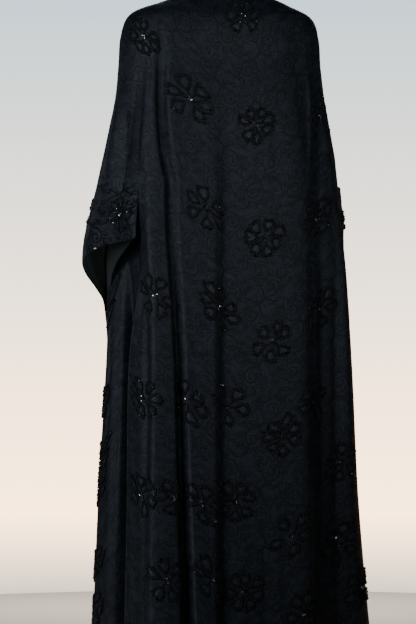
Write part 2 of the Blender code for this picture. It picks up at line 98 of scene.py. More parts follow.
# Drop, then x, y at: arm front, arm, arm back
ARM_LEFT = (
    (155, 218, -68, 245, -15, 232, 35),
    (230, 222, -80, 249, -25, 240, 30),
    (305, 236, -90, 262, -32, 249, 28),
    (420, 257, -112, 282, -50, 269, 18),
    (560, 278, -138, 305, -82, 288, -12),
    (700, 227, -164, 290, -110, 280, -30),
    (830, 228, -176, 280, -120, 270, -40),
)
ARM_RIGHT = (
    (155, -202, -68, -216, -15, -203, 36),
    (230, -212, -80, -226, -20, -213, 36),
    (305, -226, -94, -242, -30, -224, 38),
    (420, -248, -114, -269, -50, -245, 30),
    (560, -276, -150, -303, -92, -277, -28),
    (700, -250, -172, -300, -120, -274, -40),
    (830, -240, -184, -294, -130, -268, -50),
)
# Drop, then x, y at: side front, side, side back, of the body's wall under the arm
SIDE_LEFT = (
    (420, 220, -85, 222, -30, 226, 25),
    (560, 222, -52, 205, -12, 214, 42),
    (800, 226, -45, 203, -5, 238, 40),
    (1100, 232, -50, 206, -2, 246, 48),
    (1470, 242, -54, 212, 0, 256, 55),
)
SIDE_RIGHT = (
    (420, -216, -85, -222, -25, -226, 40),
    (560, -222, -62, -208, -12, -230, 42),
    (800, -240, -60, -222, -8, -244, 46),
    (1100, -254, -65, -232, 0, -256, 60),
    (1470, -272, -65, -245, 5, -280, 75),
)
# Drop, then x, y at: back corner, inner back, inner, inner front, front corner, of the
# sleeve's own tube
SLEEVE_LEFT = (
    (420, 230, 70, 226, 25, 222, -30, 220, -85, 208, -130),
    (560, 239, 76, 237, 32, 246, -46, 240, -112, 226, -168),
    (700, 240, 44, 238, 2, 238, -78, 226, -140, 214, -188),
    (830, 244, 0, 240, -40, 232, -100, 220, -150, 212, -194),
)
SLEEVE_RIGHT = (
    (420, -215, 92, -226, 40, -222, -25, -216, -85, -205, -132),
    (560, -256, 26, -253, -6, -252, -62, -240, -122, -222, -172),
    (700, -254, 0, -250, -34, -246, -92, -232, -150, -216, -190),
    (830, -250, -10, -246, -54, -240, -110, -226, -158, -212, -196),
)
# Drop of the cuff's edge at: front corner, arm front, arm, arm back, back corner, inner
# back, inner, inner front
CUFF_LEFT = (804, 668, 589, 556, 540, 550, 610, 715)
CUFF_RIGHT = (780, 660, 588, 560, 552, 558, 612, 705)
# Each ridge or hollow: its station at the yoke, the split and the hem, and how far it
# stands out at the split and at the hem
FRONT_FOLDS = (
    (0.00, 0.00, 0.00, 0, 0),
    (0.28, 0.30, 0.34, 5, 22),
    (0.60, 0.62, 0.66, -6, -20),
    (0.95, 0.98, 1.00, 6, 24),
    (1.35, 1.38, 1.34, -6, -22),
    (1.70, 1.70, 1.66, 4, 14),
    (2.00, 2.00, 2.00, 0, 0),
)
BACK_FOLDS = (
    (5.50, 6.00, 6.00, 0, 0),
    (5.72, 6.28, 6.20, 7, 14),
    (5.92, 6.52, 6.69, 6, 15),
    (6.08, 6.64, 6.84, -9, -18),
    (6.34, 6.84, 6.98, 3, 9),
    (7.00, 7.40, 7.22, 4, 9),
    (7.60, 7.66, 7.42, -3, -8),
    (7.92, 7.98, 7.74, 0, -1),
    (8.14, 8.16, 7.98, 1, 3),
    (8.40, 8.42, 8.28, 4, 9),
    (8.90, 8.96, 8.64, 4, 17),
    (9.40, 9.42, 9.00, -5, -24),
    (9.78, 9.68, 9.24, -6, -22),
    (10.1, 10.0, 9.66, -1, -4),
    (10.4, 10.0, 10.0, 0, 0),
)
# Folds of the arms: station, and how far each stands out where the sleeve parts
ARM_FOLDS = ((2, 0), (2.7, 4), (3.35, -4), (4, 2), (4.7, 3), (5.35, -7), (6, 0))


def smooth_through(knots, values, places):
    """Read a smooth curve through the values at the knots."""
    knots = np.asarray(knots, float)
    values = np.asarray(values, float)
    steps = np.diff(knots)[:, None]
    rises = np.diff(values, axis=0) / steps
    slopes = np.vstack([rises[:1], rises[:1], rises[1:]])
    slopes[1:-1] = (rises[:-1] * steps[1:] + rises[1:] * steps[:-1]) / (steps[:-1] + steps[1:])
    at = np.clip(np.searchsorted(knots, places, side="right") - 1, 0, len(steps) - 1)
    t = ((places - knots[at]) / steps[at, 0])[:, None]
    rise = steps[at]
    return (
        values[at] * (1 + 2 * t) * (1 - t) ** 2
        + values[at + 1] * t * t * (3 - 2 * t)
        + slopes[at] * rise * t * (1 - t) ** 2
        - slopes[at + 1] * rise * t * t * (1 - t)
    )


def ease(share):
    share = np.clip(share, 0, 1)
    return share * share * (3 - 2 * share)


def section(table, drop):
    """The x, y points of one section, between the table's rows."""
    rows = np.asarray(table, float)
    return smooth_through(rows[:, 0], rows[:, 1:], np.array([float(drop)]))[0].reshape(-1, 2)


def ring_at(drop, beside_left, beside_right):
    """The 17 stations round the cloak, with the arms or the walls under them."""
    left = section(TRUNK_LEFT, drop)
    right = section(TRUNK_RIGHT, drop)
    own_left = section(beside_left, drop)
    own_right = section(beside_right, drop)[::-1]
    return np.vstack([left[:3], own_left, left[3:], right[:2], own_right, right[2:]])


def cape_ring(drop):
    return ring_at(drop, ARM_LEFT, ARM_RIGHT)


def body_ring(drop):
    return ring_at(drop, SIDE_LEFT, SIDE_RIGHT)


def run_along(line):
    """Length along a line up to each of its points."""
    return np.concatenate([[0], np.cumsum(np.linalg.norm(np.diff(line, axis=0), axis=1))])


def along_ring(controls, stations):
    """Points of the smooth ring through the controls, at whole or part stations."""
    knots = run_along(controls)
    return smooth_through(knots, controls, np.interp(stations, np.arange(len(controls)), knots))


def unit(vectors):
    """The same vectors, each of length one."""
    return vectors / np.maximum(np.linalg.norm(vectors, axis=1), 1e-9)[:, None]


def outward(controls, stations):
    """Unit vectors that point out of the ring."""
    last = len(controls) - 1
    ahead = along_ring(controls, np.clip(stations + STEP, 0, last))
    behind = along_ring(controls, np.clip(stations - STEP, 0, last))
    along = unit(ahead - behind)
    return np.column_stack([along[:, 1], -along[:, 0]])


front_folds = np.array(FRONT_FOLDS, float)
other_folds = front_folds[::-1] * (1, 1, 1, 0.9, 1.1)
other_folds[:, :3] = LAST_STATION - other_folds[:, :3]
FOLDS = np.vstack(
    [
        front_folds,
        [(s, s, s, 0, 0) for s in (3, 4, 5)],
        BACK_FOLDS,
        [(s, s, s, 0, 0) for s in (11, 12, 13)],
        other_folds,
    ]
)


def stations_of(columns, drop):
    """The columns' stations, which follow the folds as they wander down the cloth."""
    places = [np.interp(drop, (YOKE_DROP, SPLIT_DROP, HEM_DROP), fold[:3]) for fold in FOLDS]
    return np.interp(columns, np.arange(len(FOLDS)), places)


def fold_depths(columns, drop, arms_too):
    """How far each column stands out from the smooth ring."""
    share = np.clip((drop - SPLIT_DROP) / (HEM_DROP - SPLIT_DROP), 0, 1)
    depths = FOLDS[:, 3] * (1 - share) + FOLDS[:, 4] * share
    lower = np.clip(columns.astype(int), 0, len(FOLDS) - 2)
    part = ease(columns - lower)
    depth = depths[lower] * (1 - part) + depths[lower + 1] * part
    if arms_too:
        arm = np.array(ARM_FOLDS, float)
        stations = stations_of(columns, drop)
        nearer = np.minimum(stations, LAST_STATION - stations)
        depth = depth + np.interp(nearer, arm[:, 0], arm[:, 1])
    return depth * ease((drop - FOLDS_START) / (SPLIT_DROP - FOLDS_START))


def ring_points(controls, stations, depth, drop):
    points = along_ring(controls, stations) + outward(controls, stations) * depth[:, None]
    return np.column_stack([points, np.full(len(points), -float(drop))])


def cape_row(columns, drop):
    """A row of points round the whole cloak above the split."""
    depth = fold_depths(columns, drop, True)
    return ring_points(cape_ring(drop), stations_of(columns, drop), depth, drop)


def body_row(columns, drop):
    """A row of points round the body under the split, with its walls under the arms."""
    stations = stations_of(columns, drop)
    depth = fold_depths(columns, drop, False)
    walls = body_ring(drop)
    eased = cape_ring(SPLIT_DROP)
    share = ease((drop - SPLIT_DROP) / PART_WAYS)
    for side in (slice(3, 6), slice(11, 14)):
        eased[side] += (walls[side] - eased[side]) * share
    trunk = walls.copy()
    trunk[3:6] = eased[3:6]
    trunk[11:14] = eased[11:14]
    points = ring_points(trunk, stations, depth, drop)
    nearer = np.minimum(stations, LAST_STATION - stations)
    in_wall = (nearer > FRONT_CORNER) & (nearer < BACK_CORNER)
    points[in_wall] = ring_points(walls, stations, depth, drop)[in_wall]
    return points


half_neck = np.array(NECK, float)
neck = np.vstack([half_neck, half_neck[-2::-1] * (-1, 1, 1)])


def yoke_rows(columns):
    """Rows of points from the neck's edge out over the shoulders."""
    top = along_ring(neck, stations_of(columns, 0))
    ring = cape_row(columns, YOKE_DROP)
    profile = np.array(SHOULDER, float)
    knots = run_along(profile)
    rows = []
    for place in np.linspace(0, knots[-1], YOKE_ROWS + 1):
        out, down = smooth_through(knots, profile, np.array([place]))[0]
        rows.append(top + (ring - top) * (out, out, down))
    return rows


def sleeve_rows(side, loop):
    """Rows of a sleeve's tube: stations 0 to 4 of the loop are outside, 4 to 8 inside."""
    arm_table = ARM_LEFT if side == "left" else ARM_RIGHT
    own_table = SLEEVE_LEFT if side == "left" else SLEEVE_RIGHT
    cuff = CUFF_LEFT if side == "left" else CUFF_RIGHT
    trunk_ring = cape_ring(SPLIT_DROP) if side == "left" else cape_ring(SPLIT_DROP)[::-1]
    ends = smooth_through(np.arange(9), np.array(cuff + cuff[:1], float)[:, None], loop)[:, 0]
    fold = np.array(ARM_FOLDS, float)
    rows = np.zeros((SLEEVE_ROWS, len(loop), 3))
    for k, station in enumerate(loop):
        for n, share in enumerate(np.linspace(0, 1, SLEEVE_ROWS + 1)[1:]):
            drop = SPLIT_DROP + (ends[k] - SPLIT_DROP) * share
            arm = section(arm_table, drop)
            back_corner, inner_back, inner, inner_front, front_corner = section(own_table, drop)
            parted = ease((drop - SPLIT_DROP) / PART_WAYS)
            before = trunk_ring[1] + (inner_front - trunk_ring[1]) * parted
            after = trunk_ring[7] + (inner_back - trunk_ring[7]) * parted
            outer = np.vstack([before, front_corner, arm, back_corner, after])
            inside = np.vstack(
                [arm[2], back_corner, inner_back, inner, inner_front, front_corner, arm[0]]
            )
            controls = outer if station <= 4 else inside
            place = np.array([station + 1 if station <= 4 else station - 3])
            point = along_ring(controls, place)[0]
            if station < 4:
                depth = np.interp(station + FRONT_CORNER, fold[:, 0], fold[:, 1])
                point = point + outward(controls, place)[0] * depth
            rows[n, k] = (point[0], point[1], -drop)
    return rows


# Columns lie about 6 mm apart where each fold is widest.
columns = []
for number in range(len(FOLDS) - 1):
    across_fold = np.linspace(number, number + 1, 9)
    widest = 0
    for row in (cape_row(across_fold, SPLIT_DROP), body_row(across_fold, HEM_DROP)):
        widest = max(widest, np.linalg.norm(np.diff(row, axis=0), axis=1).sum())
    count = math.ceil(widest / FINE_WIDTH)
    columns.extend(number + k / count for k in range(count))
columns = np.array(columns + [len(FOLDS) - 1.0])
stations = stations_of(columns, SPLIT_DROP)
nearer = np.minimum(stations, LAST_STATION - stations)
under_arm = (nearer > FRONT_CORNER) & (nearer < BACK_CORNER)
cape_count = round((SPLIT_DROP - YOKE_DROP) / FINE_HEIGHT)
cape_drops = np.linspace(YOKE_DROP, SPLIT_DROP, cape_count + 1)[1:]
cape = np.array(yoke_rows(columns) + [cape_row(columns, drop) for drop in cape_drops])
body_count = round((HEM_DROP - SPLIT_DROP) / FINE_HEIGHT)
body_drops = np.linspace(SPLIT_DROP, HEM_DROP, body_count + 1)
stitch_line = HEM_DROP - HEM_TURNED
hem_rows = (stitch_line - STITCH_ROWS_APART, stitch_line, stitch_line + STITCH_ROWS_APART)
body_drops = np.sort(np.append(body_drops, hem_rows))
body = np.array([body_row(columns, drop) for drop in body_drops])
body[0, ~under_arm] = cape[-1, ~under_arm]

# All the points of the cloak's outer face, as grids of point numbers
points = cape.reshape(-1, 3)
cape_grid = np.arange(len(points)).reshape(cape.shape[:2])
body_grid = np.zeros(body.shape[:2], int)
body_grid[0] = cape_grid[-1]
crotch = len(points) + np.arange(under_arm.sum())
body_grid[0, under_arm] = crotch
points = np.vstack([points, body[0, under_arm]])
body_grid[1:] = len(points) + np.arange(body[1:, :, 0].size).reshape(body.shape[0] - 1, -1)
points = np.vstack([points, body[1:].reshape(-1, 3)])
sleeve_grids, sleeve_loops = {}, {}
for side in ("left", "right"):
    own = stations if side == "left" else LAST_STATION - stations
    arc = np.flatnonzero((own >= FRONT_CORNER) & (own <= BACK_CORNER))
    arc = arc if side == "left" else arc[::-1]
    loop = np.concatenate([own[arc] - FRONT_CORNER, 10 - own[arc][-2:0:-1]])
    tube = sleeve_rows(side, loop)
    top = np.concatenate([cape_grid[-1][arc], body_grid[0][arc][-2:0:-1]])
    own_grid = len(points) + np.arange(tube[:, :, 0].size).reshape(tube.shape[:2])
    points = np.vstack([points, tube.reshape(-1, 3)])
    grid = np.vstack([top, own_grid])
    sleeve_grids[side] = np.hstack([grid, grid[:, :1]])
    sleeve_loops[side] = np.append(loop, 8)


def weave(grid, piece_of):
    """Faces between the rows of a grid that look outward, and the piece of each."""
    faces = np.stack([grid[:-1, :-1], grid[1:, :-1], grid[1:, 1:], grid[:-1, 1:]], axis=-1)
    names = np.array([piece_of(k) for k in range(grid.shape[1] - 1)])
    return faces.reshape(-1, 4), np.tile(names, grid.shape[0] - 1)


def trunk_piece(k):
    middle = (stations[k] + stations[k + 1]) / 2
    if middle < ARM:
        return "front_left"
    return "back" if middle < LAST_STATION - ARM else "front_right"


woven = [weave(cape_grid, trunk_piece), weave(body_grid, trunk_piece)]
for side, grid in sleeve_grids.items():
    round_it = sleeve_loops[side]
    if side == "right":
        grid = grid[:, ::-1]
        round_it = round_it[::-1]
    halves = (round_it[:-1] + round_it[1:]) / 2
    woven.append(weave(grid, lambda k: "back" if 2 < halves[k] < 6 else "front_" + side))
faces = np.vstack([part[0] for part in woven])
face_pieces = np.concatenate([part[1] for part in woven])


def point_normals(points, faces):
    """Unit normals of the whole cloth."""
    quads = points[faces]
    flat = unit(np.cross(quads[:, 2] - quads[:, 0], quads[:, 3] - quads[:, 1]))
    normals = np.zeros_like(points)
    for corner in range(4):
        np.add.at(normals, faces[:, corner], flat)
    return unit(normals)


def running_length(points, axis):
    """Length along a grid's rows or columns up to each point."""
    lengths = np.linalg.norm(np.diff(points, axis=axis), axis=2)
    running = np.cumsum(lengths, axis=axis)
    return np.concatenate([np.zeros_like(np.take(running, [0], axis)), running], axis)


# Where each point lies in the flat cut, across and down, for each of the three pieces
centre = int(np.argmin(abs(stations - CENTRE_BACK)))
down = np.zeros(len(points))
down[cape_grid] = running_length(points[cape_grid], 0)
top_row = down[body_grid[0]]
top_row[under_arm] = down[cape_grid[-1]][under_arm]
down[body_grid] = running_length(points[body_grid], 0) + top_row
across = {piece: np.zeros(len(points)) for piece in ("back", "front_left", "front_right")}
for grid in (body_grid, cape_grid):
    along = running_length(points[grid], 1)
    across["back"][grid] = along - along[:, centre : centre + 1]
    across["front_left"][grid] = along
    across["front_right"][grid] = along - along[:, -1:]
for side, sign in (("left", 1), ("right", -1)):
    grid, loop = sleeve_grids[side], sleeve_loops[side]
    down[grid[1:, :-1]] = (running_length(points[grid], 0) + down[grid[0]])[1:, :-1]
    along = running_length(points[grid], 1)
    corner = int(np.argmin(abs(loop - 4)))
    far = np.minimum(along, along[:, -1:] - along)
    back_corner_at = across["back"][grid[0, corner]]
    front_corner_at = across["front_" + side][grid[0, 0]]
    from_back = abs(along - along[:, corner : corner + 1])
    across["back"][grid[1:, :-1]] = (back_corner_at - sign * from_back)[1:, :-1]
    across["front_" + side][grid[1:, :-1]] = (front_corner_at + sign * far)[1:, :-1]

# Soft creases between the main folds: station and drop at the start, station and drop at
# the end, half width, and how far it stands out. Minus is a trough. Each rises over the
# first quarter of its length and dies out over the last third.
CREASE_RISES, CREASE_DIES = 4, 3
CREASES = (
    (6.02, 90, 6.58, 430, 11, -7),
    (5.88, 100, 6.48, 430, 10, 3),
    (9.66, 150, 9.00, 470, 5, 3),
    (9.95, 150, 9.25, 520, 14, -4),
    (8.50, 210, 8.46, 560, 16, -2),
    (6.00, 560, 6.06, 1250, 11, -3),
    (7.02, 620, 7.04, 960, 9, -2),
    (3.05, 560, 2.98, 1250, 8, 6),
    (9.22, 480, 8.99, 1300, 9, 3),
    (9.62, 560, 9.30, 1470, 10, -3),
    (4.90, 240, 5.30, 420, 14, -5),
    (4.40, 200, 4.60, 420, 12, 4),
    (11.2, 240, 10.8, 420, 14, -5),
    (11.7, 200, 11.5, 420, 12, 4),
    (2.60, 250, 2.80, 420, 12, -4),
    (13.4, 250, 13.2, 420, 12, -4),
    (0.45, 300, 0.48, 1470, 10, 3),
    (1.20, 260, 1.18, 1470, 10, -4),
    (1.85, 320, 1.84, 1470, 9, 3),
    (14.1, 320, 14.2, 1470, 9, 3),
    (14.8, 260, 14.9, 1470, 10, -4),
    (15.5, 300, 15.5, 1470, 10, 3),
    (3.24, 520, 3.20, 1470, 11, -24),
    (2.30, 560, 2.55, 1470, 16, 7),
    (4.40, 520, 4.45, 1470, 12, -5),
    (5.20, 520, 5.30, 1470, 12, 5),
    (10.8, 520, 10.7, 1470, 12, 5),
    (11.6, 520, 11.6, 1470, 12, -5),
    (12.8, 520, 12.8, 1470, 12, 5),
)
normals = point_normals(points, faces)
rises = np.zeros(len(points))
for grid in (cape_grid, body_grid):
    drops = -points[grid][:, centre, 2]
    own_across = running_length(points[grid], 1)
    for from_station, from_drop, to_station, to_drop, width, height in CREASES:
        for row in np.flatnonzero((drops > from_drop) & (drops <= to_drop)):
            share = (drops[row] - from_drop) / (to_drop - from_drop)
            station = from_station + (to_station - from_station) * share
            row_stations = stations_of(columns, drops[row])
            middle = np.interp(station, row_stations, own_across[row])
            dies_out = 1 if to_drop == HEM_DROP else ease((1 - share) * CREASE_DIES)
            fades = ease(share * CREASE_RISES) * dies_out
            bump = height * fades * np.exp(-(((own_across[row] - middle) / width) ** 2))
            fresh = grid[row] if grid is cape_grid or row else grid[row][:0]
            rises[fresh] += bump[: len(fresh)]
points = points + normals * rises[:, None]
normals = point_normals(points, faces)

# Two wall pieces draw back from each seam by half the gap.
shifts = {piece: np.zeros_like(points) for piece in across}
starts = faces.ravel()
ends = np.roll(faces, -1, axis=1).ravel()
edge_keys = np.minimum(starts, ends) * len(points) + np.maximum(starts, ends)
edge_pieces = np.repeat(face_pieces, 4)
order = np.argsort(edge_keys, kind="stable")
same = edge_keys[order][1:] == edge_keys[order][:-1]
unlike = edge_pieces[order][1:] != edge_pieces[order][:-1]
for pair in np.flatnonzero(same & unlike):
    for number in (order[pair], order[pair + 1]):
        quad = points[faces[number // 4]]
        flat = np.cross(quad[2] - quad[0], quad[3] - quad[1])
        inward = np.cross(flat, points[ends[number]] - points[starts[number]])
        inward /= np.linalg.norm(inward)
        for end in (starts[number], ends[number]):
            shifts[edge_pieces[number]][end] += inward


def place_mesh(name, made_points, made_faces, smooth):
    """An object in the scene, from points in millimetres and faces."""
    mesh = bpy.data.meshes.new(name)
    mesh.from_pydata((np.array(made_points) * MM).tolist(), [], made_faces)
    mesh.polygons.foreach_set("use_smooth", np.full(len(mesh.polygons), smooth))
    placed = bpy.data.objects.new(name, mesh)
    bpy.context.scene.collection.objects.link(placed)
    return placed


def make_sheet(name, piece, own_faces):
    """A sheet of cloth with its two faces, its cut edges, and its places in the flat cut."""
    used, flat_numbers = np.unique(own_faces, return_inverse=True)
    own_faces = flat_numbers.reshape(own_faces.shape)
    drawn = shifts[piece][used]
    lengths = np.linalg.norm(drawn, axis=1)
    drawn[lengths > 0] *= (SEAM_GAP / 2 / lengths[lengths > 0])[:, None]
    outer = points[used] + drawn
    count = len(used)
    edges = np.stack([own_faces, np.roll(own_faces, -1, axis=1)], axis=-1).reshape(-1, 2)
    keys = edges[:, 0] * count + edges[:, 1]
    back_keys = edges[:, 1] * count + edges[:, 0]
    rim = edges[~np.isin(keys, back_keys)]
    rim_faces = np.column_stack([rim[:, 1], rim[:, 0], rim[:, 0] + count, rim[:, 1] + count])
    all_faces = np.vstack([own_faces, own_faces[:, ::-1] + count, rim_faces])
    inner = outer - normals[used] * CLOTH
    sheet = place_mesh(name, np.vstack([outer, inner]), all_faces.tolist(), True)
    mesh = sheet.data
    corners = np.zeros(len(mesh.loops), int)
    mesh.loops.foreach_get("vertex_index", corners)
    flat_places = np.column_stack([across[piece][used], down[used]]) * MM
    mesh.uv_layers.new(name="cut")
    mesh.uv_layers["cut"].data.foreach_set("uv", flat_places[corners % count].ravel())
    faced = np.zeros(len(mesh.polygons), int)
    faced[len(own_faces) : 2 * len(own_faces)] = 1
    mesh.materials.append(None)
    mesh.materials.append(None)
    mesh.polygons.foreach_set("material_index", faced)
    return sheet


def linear(hex_colour):
    """A shader's linear colour from an sRGB hex value."""
    parts = [int(hex_colour[k : k + 2], 16) / 255 for k in (1, 3, 5)]
    return tuple(p / 12.92 if p < 0.04045 else ((p + 0.055) / 1.055) ** 2.4 for p in parts) + (1,)


def add_node(material, kind, settings, feeds):
    """Add a node with its settings, and what feeds each of its sockets."""
    node = material.node_tree.nodes.new(kind)
    for name, value in settings.items():
        setattr(node, name, value)
    for socket, value in feeds.items():
        if isinstance(value, bpy.types.NodeSocket):
            material.node_tree.links.new(value, node.inputs[socket])
        else:
            node.inputs[socket].default_value = value
    return node.outputs


# The jacquard is polyester satin with its scrolls woven in: black scrolls on a ground with a
# faint blue-grey sheen, so the scrolls show only where light slides over the cloth.
GROUND = "#1e2329"
FIGURE = "#090b0d"
LEAF = "#161a1f"
# The pattern wanders by up to 9 mm either way, over waves of about 70 mm
WANDER_SCALE = 14.0
WANDER_M = 0.018
# Cell of a scroll in metres, half width of its line in cells, leaves round it, turns
SCROLL_SIZES = ((0.092, 0.019, 5, 1.15), (0.046, 0.026, 3, 0.95))
# The larger scrolls are faint in the colour, because raised floats are laid over them.
LARGE_SCROLL_DEPTH = 0.3
SMALL_SCROLL_DEPTH = 0.6


def weave_jacquard(name, shift):
    """Satin jacquard: two sizes of woven scrolls, and the slubs of the yarn."""
    made = bpy.data.materials.new(name)
    made.use_nodes = True
    shader = made.node_tree.nodes["Principled BSDF"]
    cut = add_node(made, "ShaderNodeUVMap", {"uv_map": "cut"}, {})[0]
    moved = add_node(
        made, "ShaderNodeVectorMath", {"operation": "ADD"}, {0: cut, 1: (shift, shift * 0.7, 0)}
    )[0]
    wander = add_node(
        made,
        "ShaderNodeTexNoise",
        {"noise_dimensions": "2D"},
        {"Vector": moved, "Scale": WANDER_SCALE},
    )[1]
    wander = add_node(
        made, "ShaderNodeVectorMath", {"operation": "SUBTRACT"}, {0: wander, 1: (0.5, 0.5, 0.5)}
    )[0]
    wander = add_node(
        made, "ShaderNodeVectorMath", {"operation": "SCALE"}, {0: wander, "Scale": WANDER_M}
    )[0]
    moved = add_node(made, "ShaderNodeVectorMath", {"operation": "ADD"}, {0: moved, 1: wander})[0]
    figures, fills = [], []
    for cell, line, leaves, turns in SCROLL_SIZES:
        placed = add_node(
            made, "ShaderNodeVectorMath", {"operation": "SCALE"}, {0: moved, "Scale": 1 / cell}
        )[0]
        cells = add_node(
            made,
            "ShaderNodeTexVoronoi",
            {"voronoi_dimensions": "2D", "feature": "F1"},
            {"Vector": placed, "Scale": 1.0, "Randomness": 0.62},
        )
        away = add_node(
            made, "ShaderNodeVectorMath", {"operation": "SUBTRACT"}, {0: placed, 1: cells[2]}
        )[0]
        parts = add_node(made, "ShaderNodeSeparateXYZ", {}, {0: away})
        chance = add_node(made, "ShaderNodeSeparateColor", {}, {0: cells[1]})
        hand = add_node(
            made, "ShaderNodeMath", {"operation": "GREATER_THAN"}, {0: chance[0], 1: 0.5}
        )[0]
        hand = add_node(
            made, "ShaderNodeMath", {"operation": "MULTIPLY_ADD"}, {0: hand, 1: 2.0, 2: -1.0}
        )[0]
        angle = add_node(
            made, "ShaderNodeMath", {"operation": "ARCTAN2"}, {0: parts[1], 1: parts[0]}
        )[0]
        angle = add_node(
            made, "ShaderNodeMath", {"operation": "MULTIPLY"}, {0: angle, 1: 0.5 / math.pi}
        )[0]
        angle = add_node(made, "ShaderNodeMath", {"operation": "MULTIPLY"}, {0: angle, 1: hand})[0]
        far = cells[0]
        depth = add_node(
            made, "ShaderNodeMath", {"operation": "LOGARITHM"}, {0: far, 1: 2.0}
        )[0]
        # The scroll is a line that winds in towards the middle of its cell.
        wound = add_node(
            made, "ShaderNodeMath", {"operation": "MULTIPLY_ADD"}, {0: depth, 1: turns, 2: angle}
        )[0]
        wound = add_node(made, "ShaderNodeMath", {"operation": "ADD"}, {0: wound, 1: chance[1]})[0]
        wound = add_node(
            made, "ShaderNodeMath", {"operation": "PINGPONG"}, {0: wound, 1: 0.5}
        )[0]
        gap = add_node(made, "ShaderNodeMath", {"operation": "MULTIPLY"}, {0: wound, 1: far})[0]
        scroll = add_node(
            made,
            "ShaderNodeMapRange",
            {"interpolation_type": "SMOOTHSTEP"},
            {"Value": gap, "From Min": line * 1.5, "From Max": line * 0.5},
        )[0]
        ended = add_node(
            made,
            "ShaderNodeMapRange",
            {"interpolation_type": "SMOOTHSTEP"},
            {"Value": far, "From Min": 0.50, "From Max": 0.44},
        )[0]
        scroll = add_node(
            made, "ShaderNodeMath", {"operation": "MULTIPLY"}, {0: scroll, 1: ended}
        )[0]
        # Leaves curl out round the scroll.
        curled = add_node(
            made,
            "ShaderNodeMath",
            {"operation": "MULTIPLY_ADD"},
            {0: angle, 1: float(leaves), 2: chance[2]},
        )[0]
        curled = add_node(
            made, "ShaderNodeMath", {"operation": "MULTIPLY_ADD"}, {0: depth, 1: 1.3, 2: curled}
        )[0]
        curled = add_node(
            made, "ShaderNodeMath", {"operation": "PINGPONG"}, {0: curled, 1: 0.5}
        )[0]
        width = add_node(
            made,
            "ShaderNodeMapRange",
            {"interpolation_type": "SMOOTHSTEP"},
            {"Value": far, "From Min": 0.72, "From Max": 0.34, "To Max": 0.34},
        )[0]
        inside = add_node(
            made, "ShaderNodeMath", {"operation": "SUBTRACT"}, {0: width, 1: curled}
        )[0]
        leaf = add_node(
            made,
            "ShaderNodeMapRange",
            {"interpolation_type": "SMOOTHSTEP"},
            {"Value": inside, "From Min": 0.0, "From Max": 0.03},
        )[0]
        outline = add_node(made, "ShaderNodeMath", {"operation": "ABSOLUTE"}, {0: inside})[0]
        outline = add_node(
            made,
            "ShaderNodeMapRange",
            {"interpolation_type": "SMOOTHSTEP"},
            {"Value": outline, "From Min": 0.075, "From Max": 0.03},
        )[0]
        outside = add_node(
            made,
            "ShaderNodeMapRange",
            {"interpolation_type": "SMOOTHSTEP"},
            {"Value": far, "From Min": 0.30, "From Max": 0.40},
        )[0]
        outline = add_node(
            made, "ShaderNodeMath", {"operation": "MULTIPLY"}, {0: outline, 1: outside}
        )[0]
        figures.append(
            add_node(made, "ShaderNodeMath", {"operation": "MAXIMUM"}, {0: scroll, 1: outline})[0]
        )
        fills.append(
            add_node(made, "ShaderNodeMath", {"operation": "MULTIPLY"}, {0: leaf, 1: outside})[0]
        )
    finer = add_node(
        made, "ShaderNodeMath", {"operation": "MULTIPLY"}, {0: figures[1], 1: SMALL_SCROLL_DEPTH}
    )[0]
    figure = add_node(
        made, "ShaderNodeMath", {"operation": "MULTIPLY"}, {0: figures[0], 1: LARGE_SCROLL_DEPTH}
    )[0]
    figure = add_node(made, "ShaderNodeMath", {"operation": "MAXIMUM"}, {0: figure, 1: finer})[0]
    # Slubs of weft and warp, real ones 0.3 mm wide, drawn 2 to 3 mm wide so that they show
    weft = add_node(
        made, "ShaderNodeVectorMath", {"operation": "MULTIPLY"}, {0: moved, 1: (70.0, 420.0, 1)}
    )[0]
    weft = add_node(
        made,
        "ShaderNodeTexNoise",
        {"noise_dimensions": "2D"},
        {"Vector": weft, "Scale": 1.0, "Detail": 2.0},
    )[0]
    warp = add_node(
        made, "ShaderNodeVectorMath", {"operation": "MULTIPLY"}, {0: moved, 1: (420.0, 60.0, 1)}
    )[0]
    warp = add_node(
        made,
        "ShaderNodeTexNoise",
        {"noise_dimensions": "2D"},
        {"Vector": warp, "Scale": 1.0, "Detail": 2.0},
    )[0]
    slub = add_node(made, "ShaderNodeMath", {"operation": "MAXIMUM"}, {0: weft, 1: warp})[0]
    ground = add_node(
        made,
        "ShaderNodeMapRange",
        {},
        {"Value": slub, "From Min": 0.40, "From Max": 0.75, "To Min": 0.72, "To Max": 1.25},
    )[0]
    base = add_node(
        made,
        "ShaderNodeMix",
        {"data_type": "RGBA"},
        {0: fills[0], 6: linear(GROUND), 7: linear(LEAF)},
    )[2]
    base = add_node(
        made, "ShaderNodeMix", {"data_type": "RGBA"}, {0: figure, 6: base, 7: linear(FIGURE)}
    )[2]
    base = add_node(
        made, "ShaderNodeVectorMath", {"operation": "SCALE"}, {0: base, "Scale": ground}
    )[0]
    rough = add_node(
        made,
        "ShaderNodeMapRange",
        {},
        {"Value": figure, "To Min": 0.58, "To Max": 0.74},
    )[0]
    raised = add_node(
        made, "ShaderNodeMath", {"operation": "MULTIPLY_ADD"}, {0: figure, 1: -0.9, 2: slub}
    )[0]
    relief = add_node(
        made,
        "ShaderNodeBump",
        {},
        {"Height": raised, "Strength": 0.55, "Distance": 0.0006},
    )[0]
    shader.inputs["Specular IOR Level"].default_value = 0.32
    shader.inputs["Sheen Weight"].default_value = 0.16
    shader.inputs["Sheen Roughness"].default_value = 0.4
    shader.inputs["Sheen Tint"].default_value = linear("#8a97a4")
    made.node_tree.links.new(base, shader.inputs["Base Color"])
    made.node_tree.links.new(rough, shader.inputs["Roughness"])
    made.node_tree.links.new(relief, shader.inputs["Normal"])
    return made


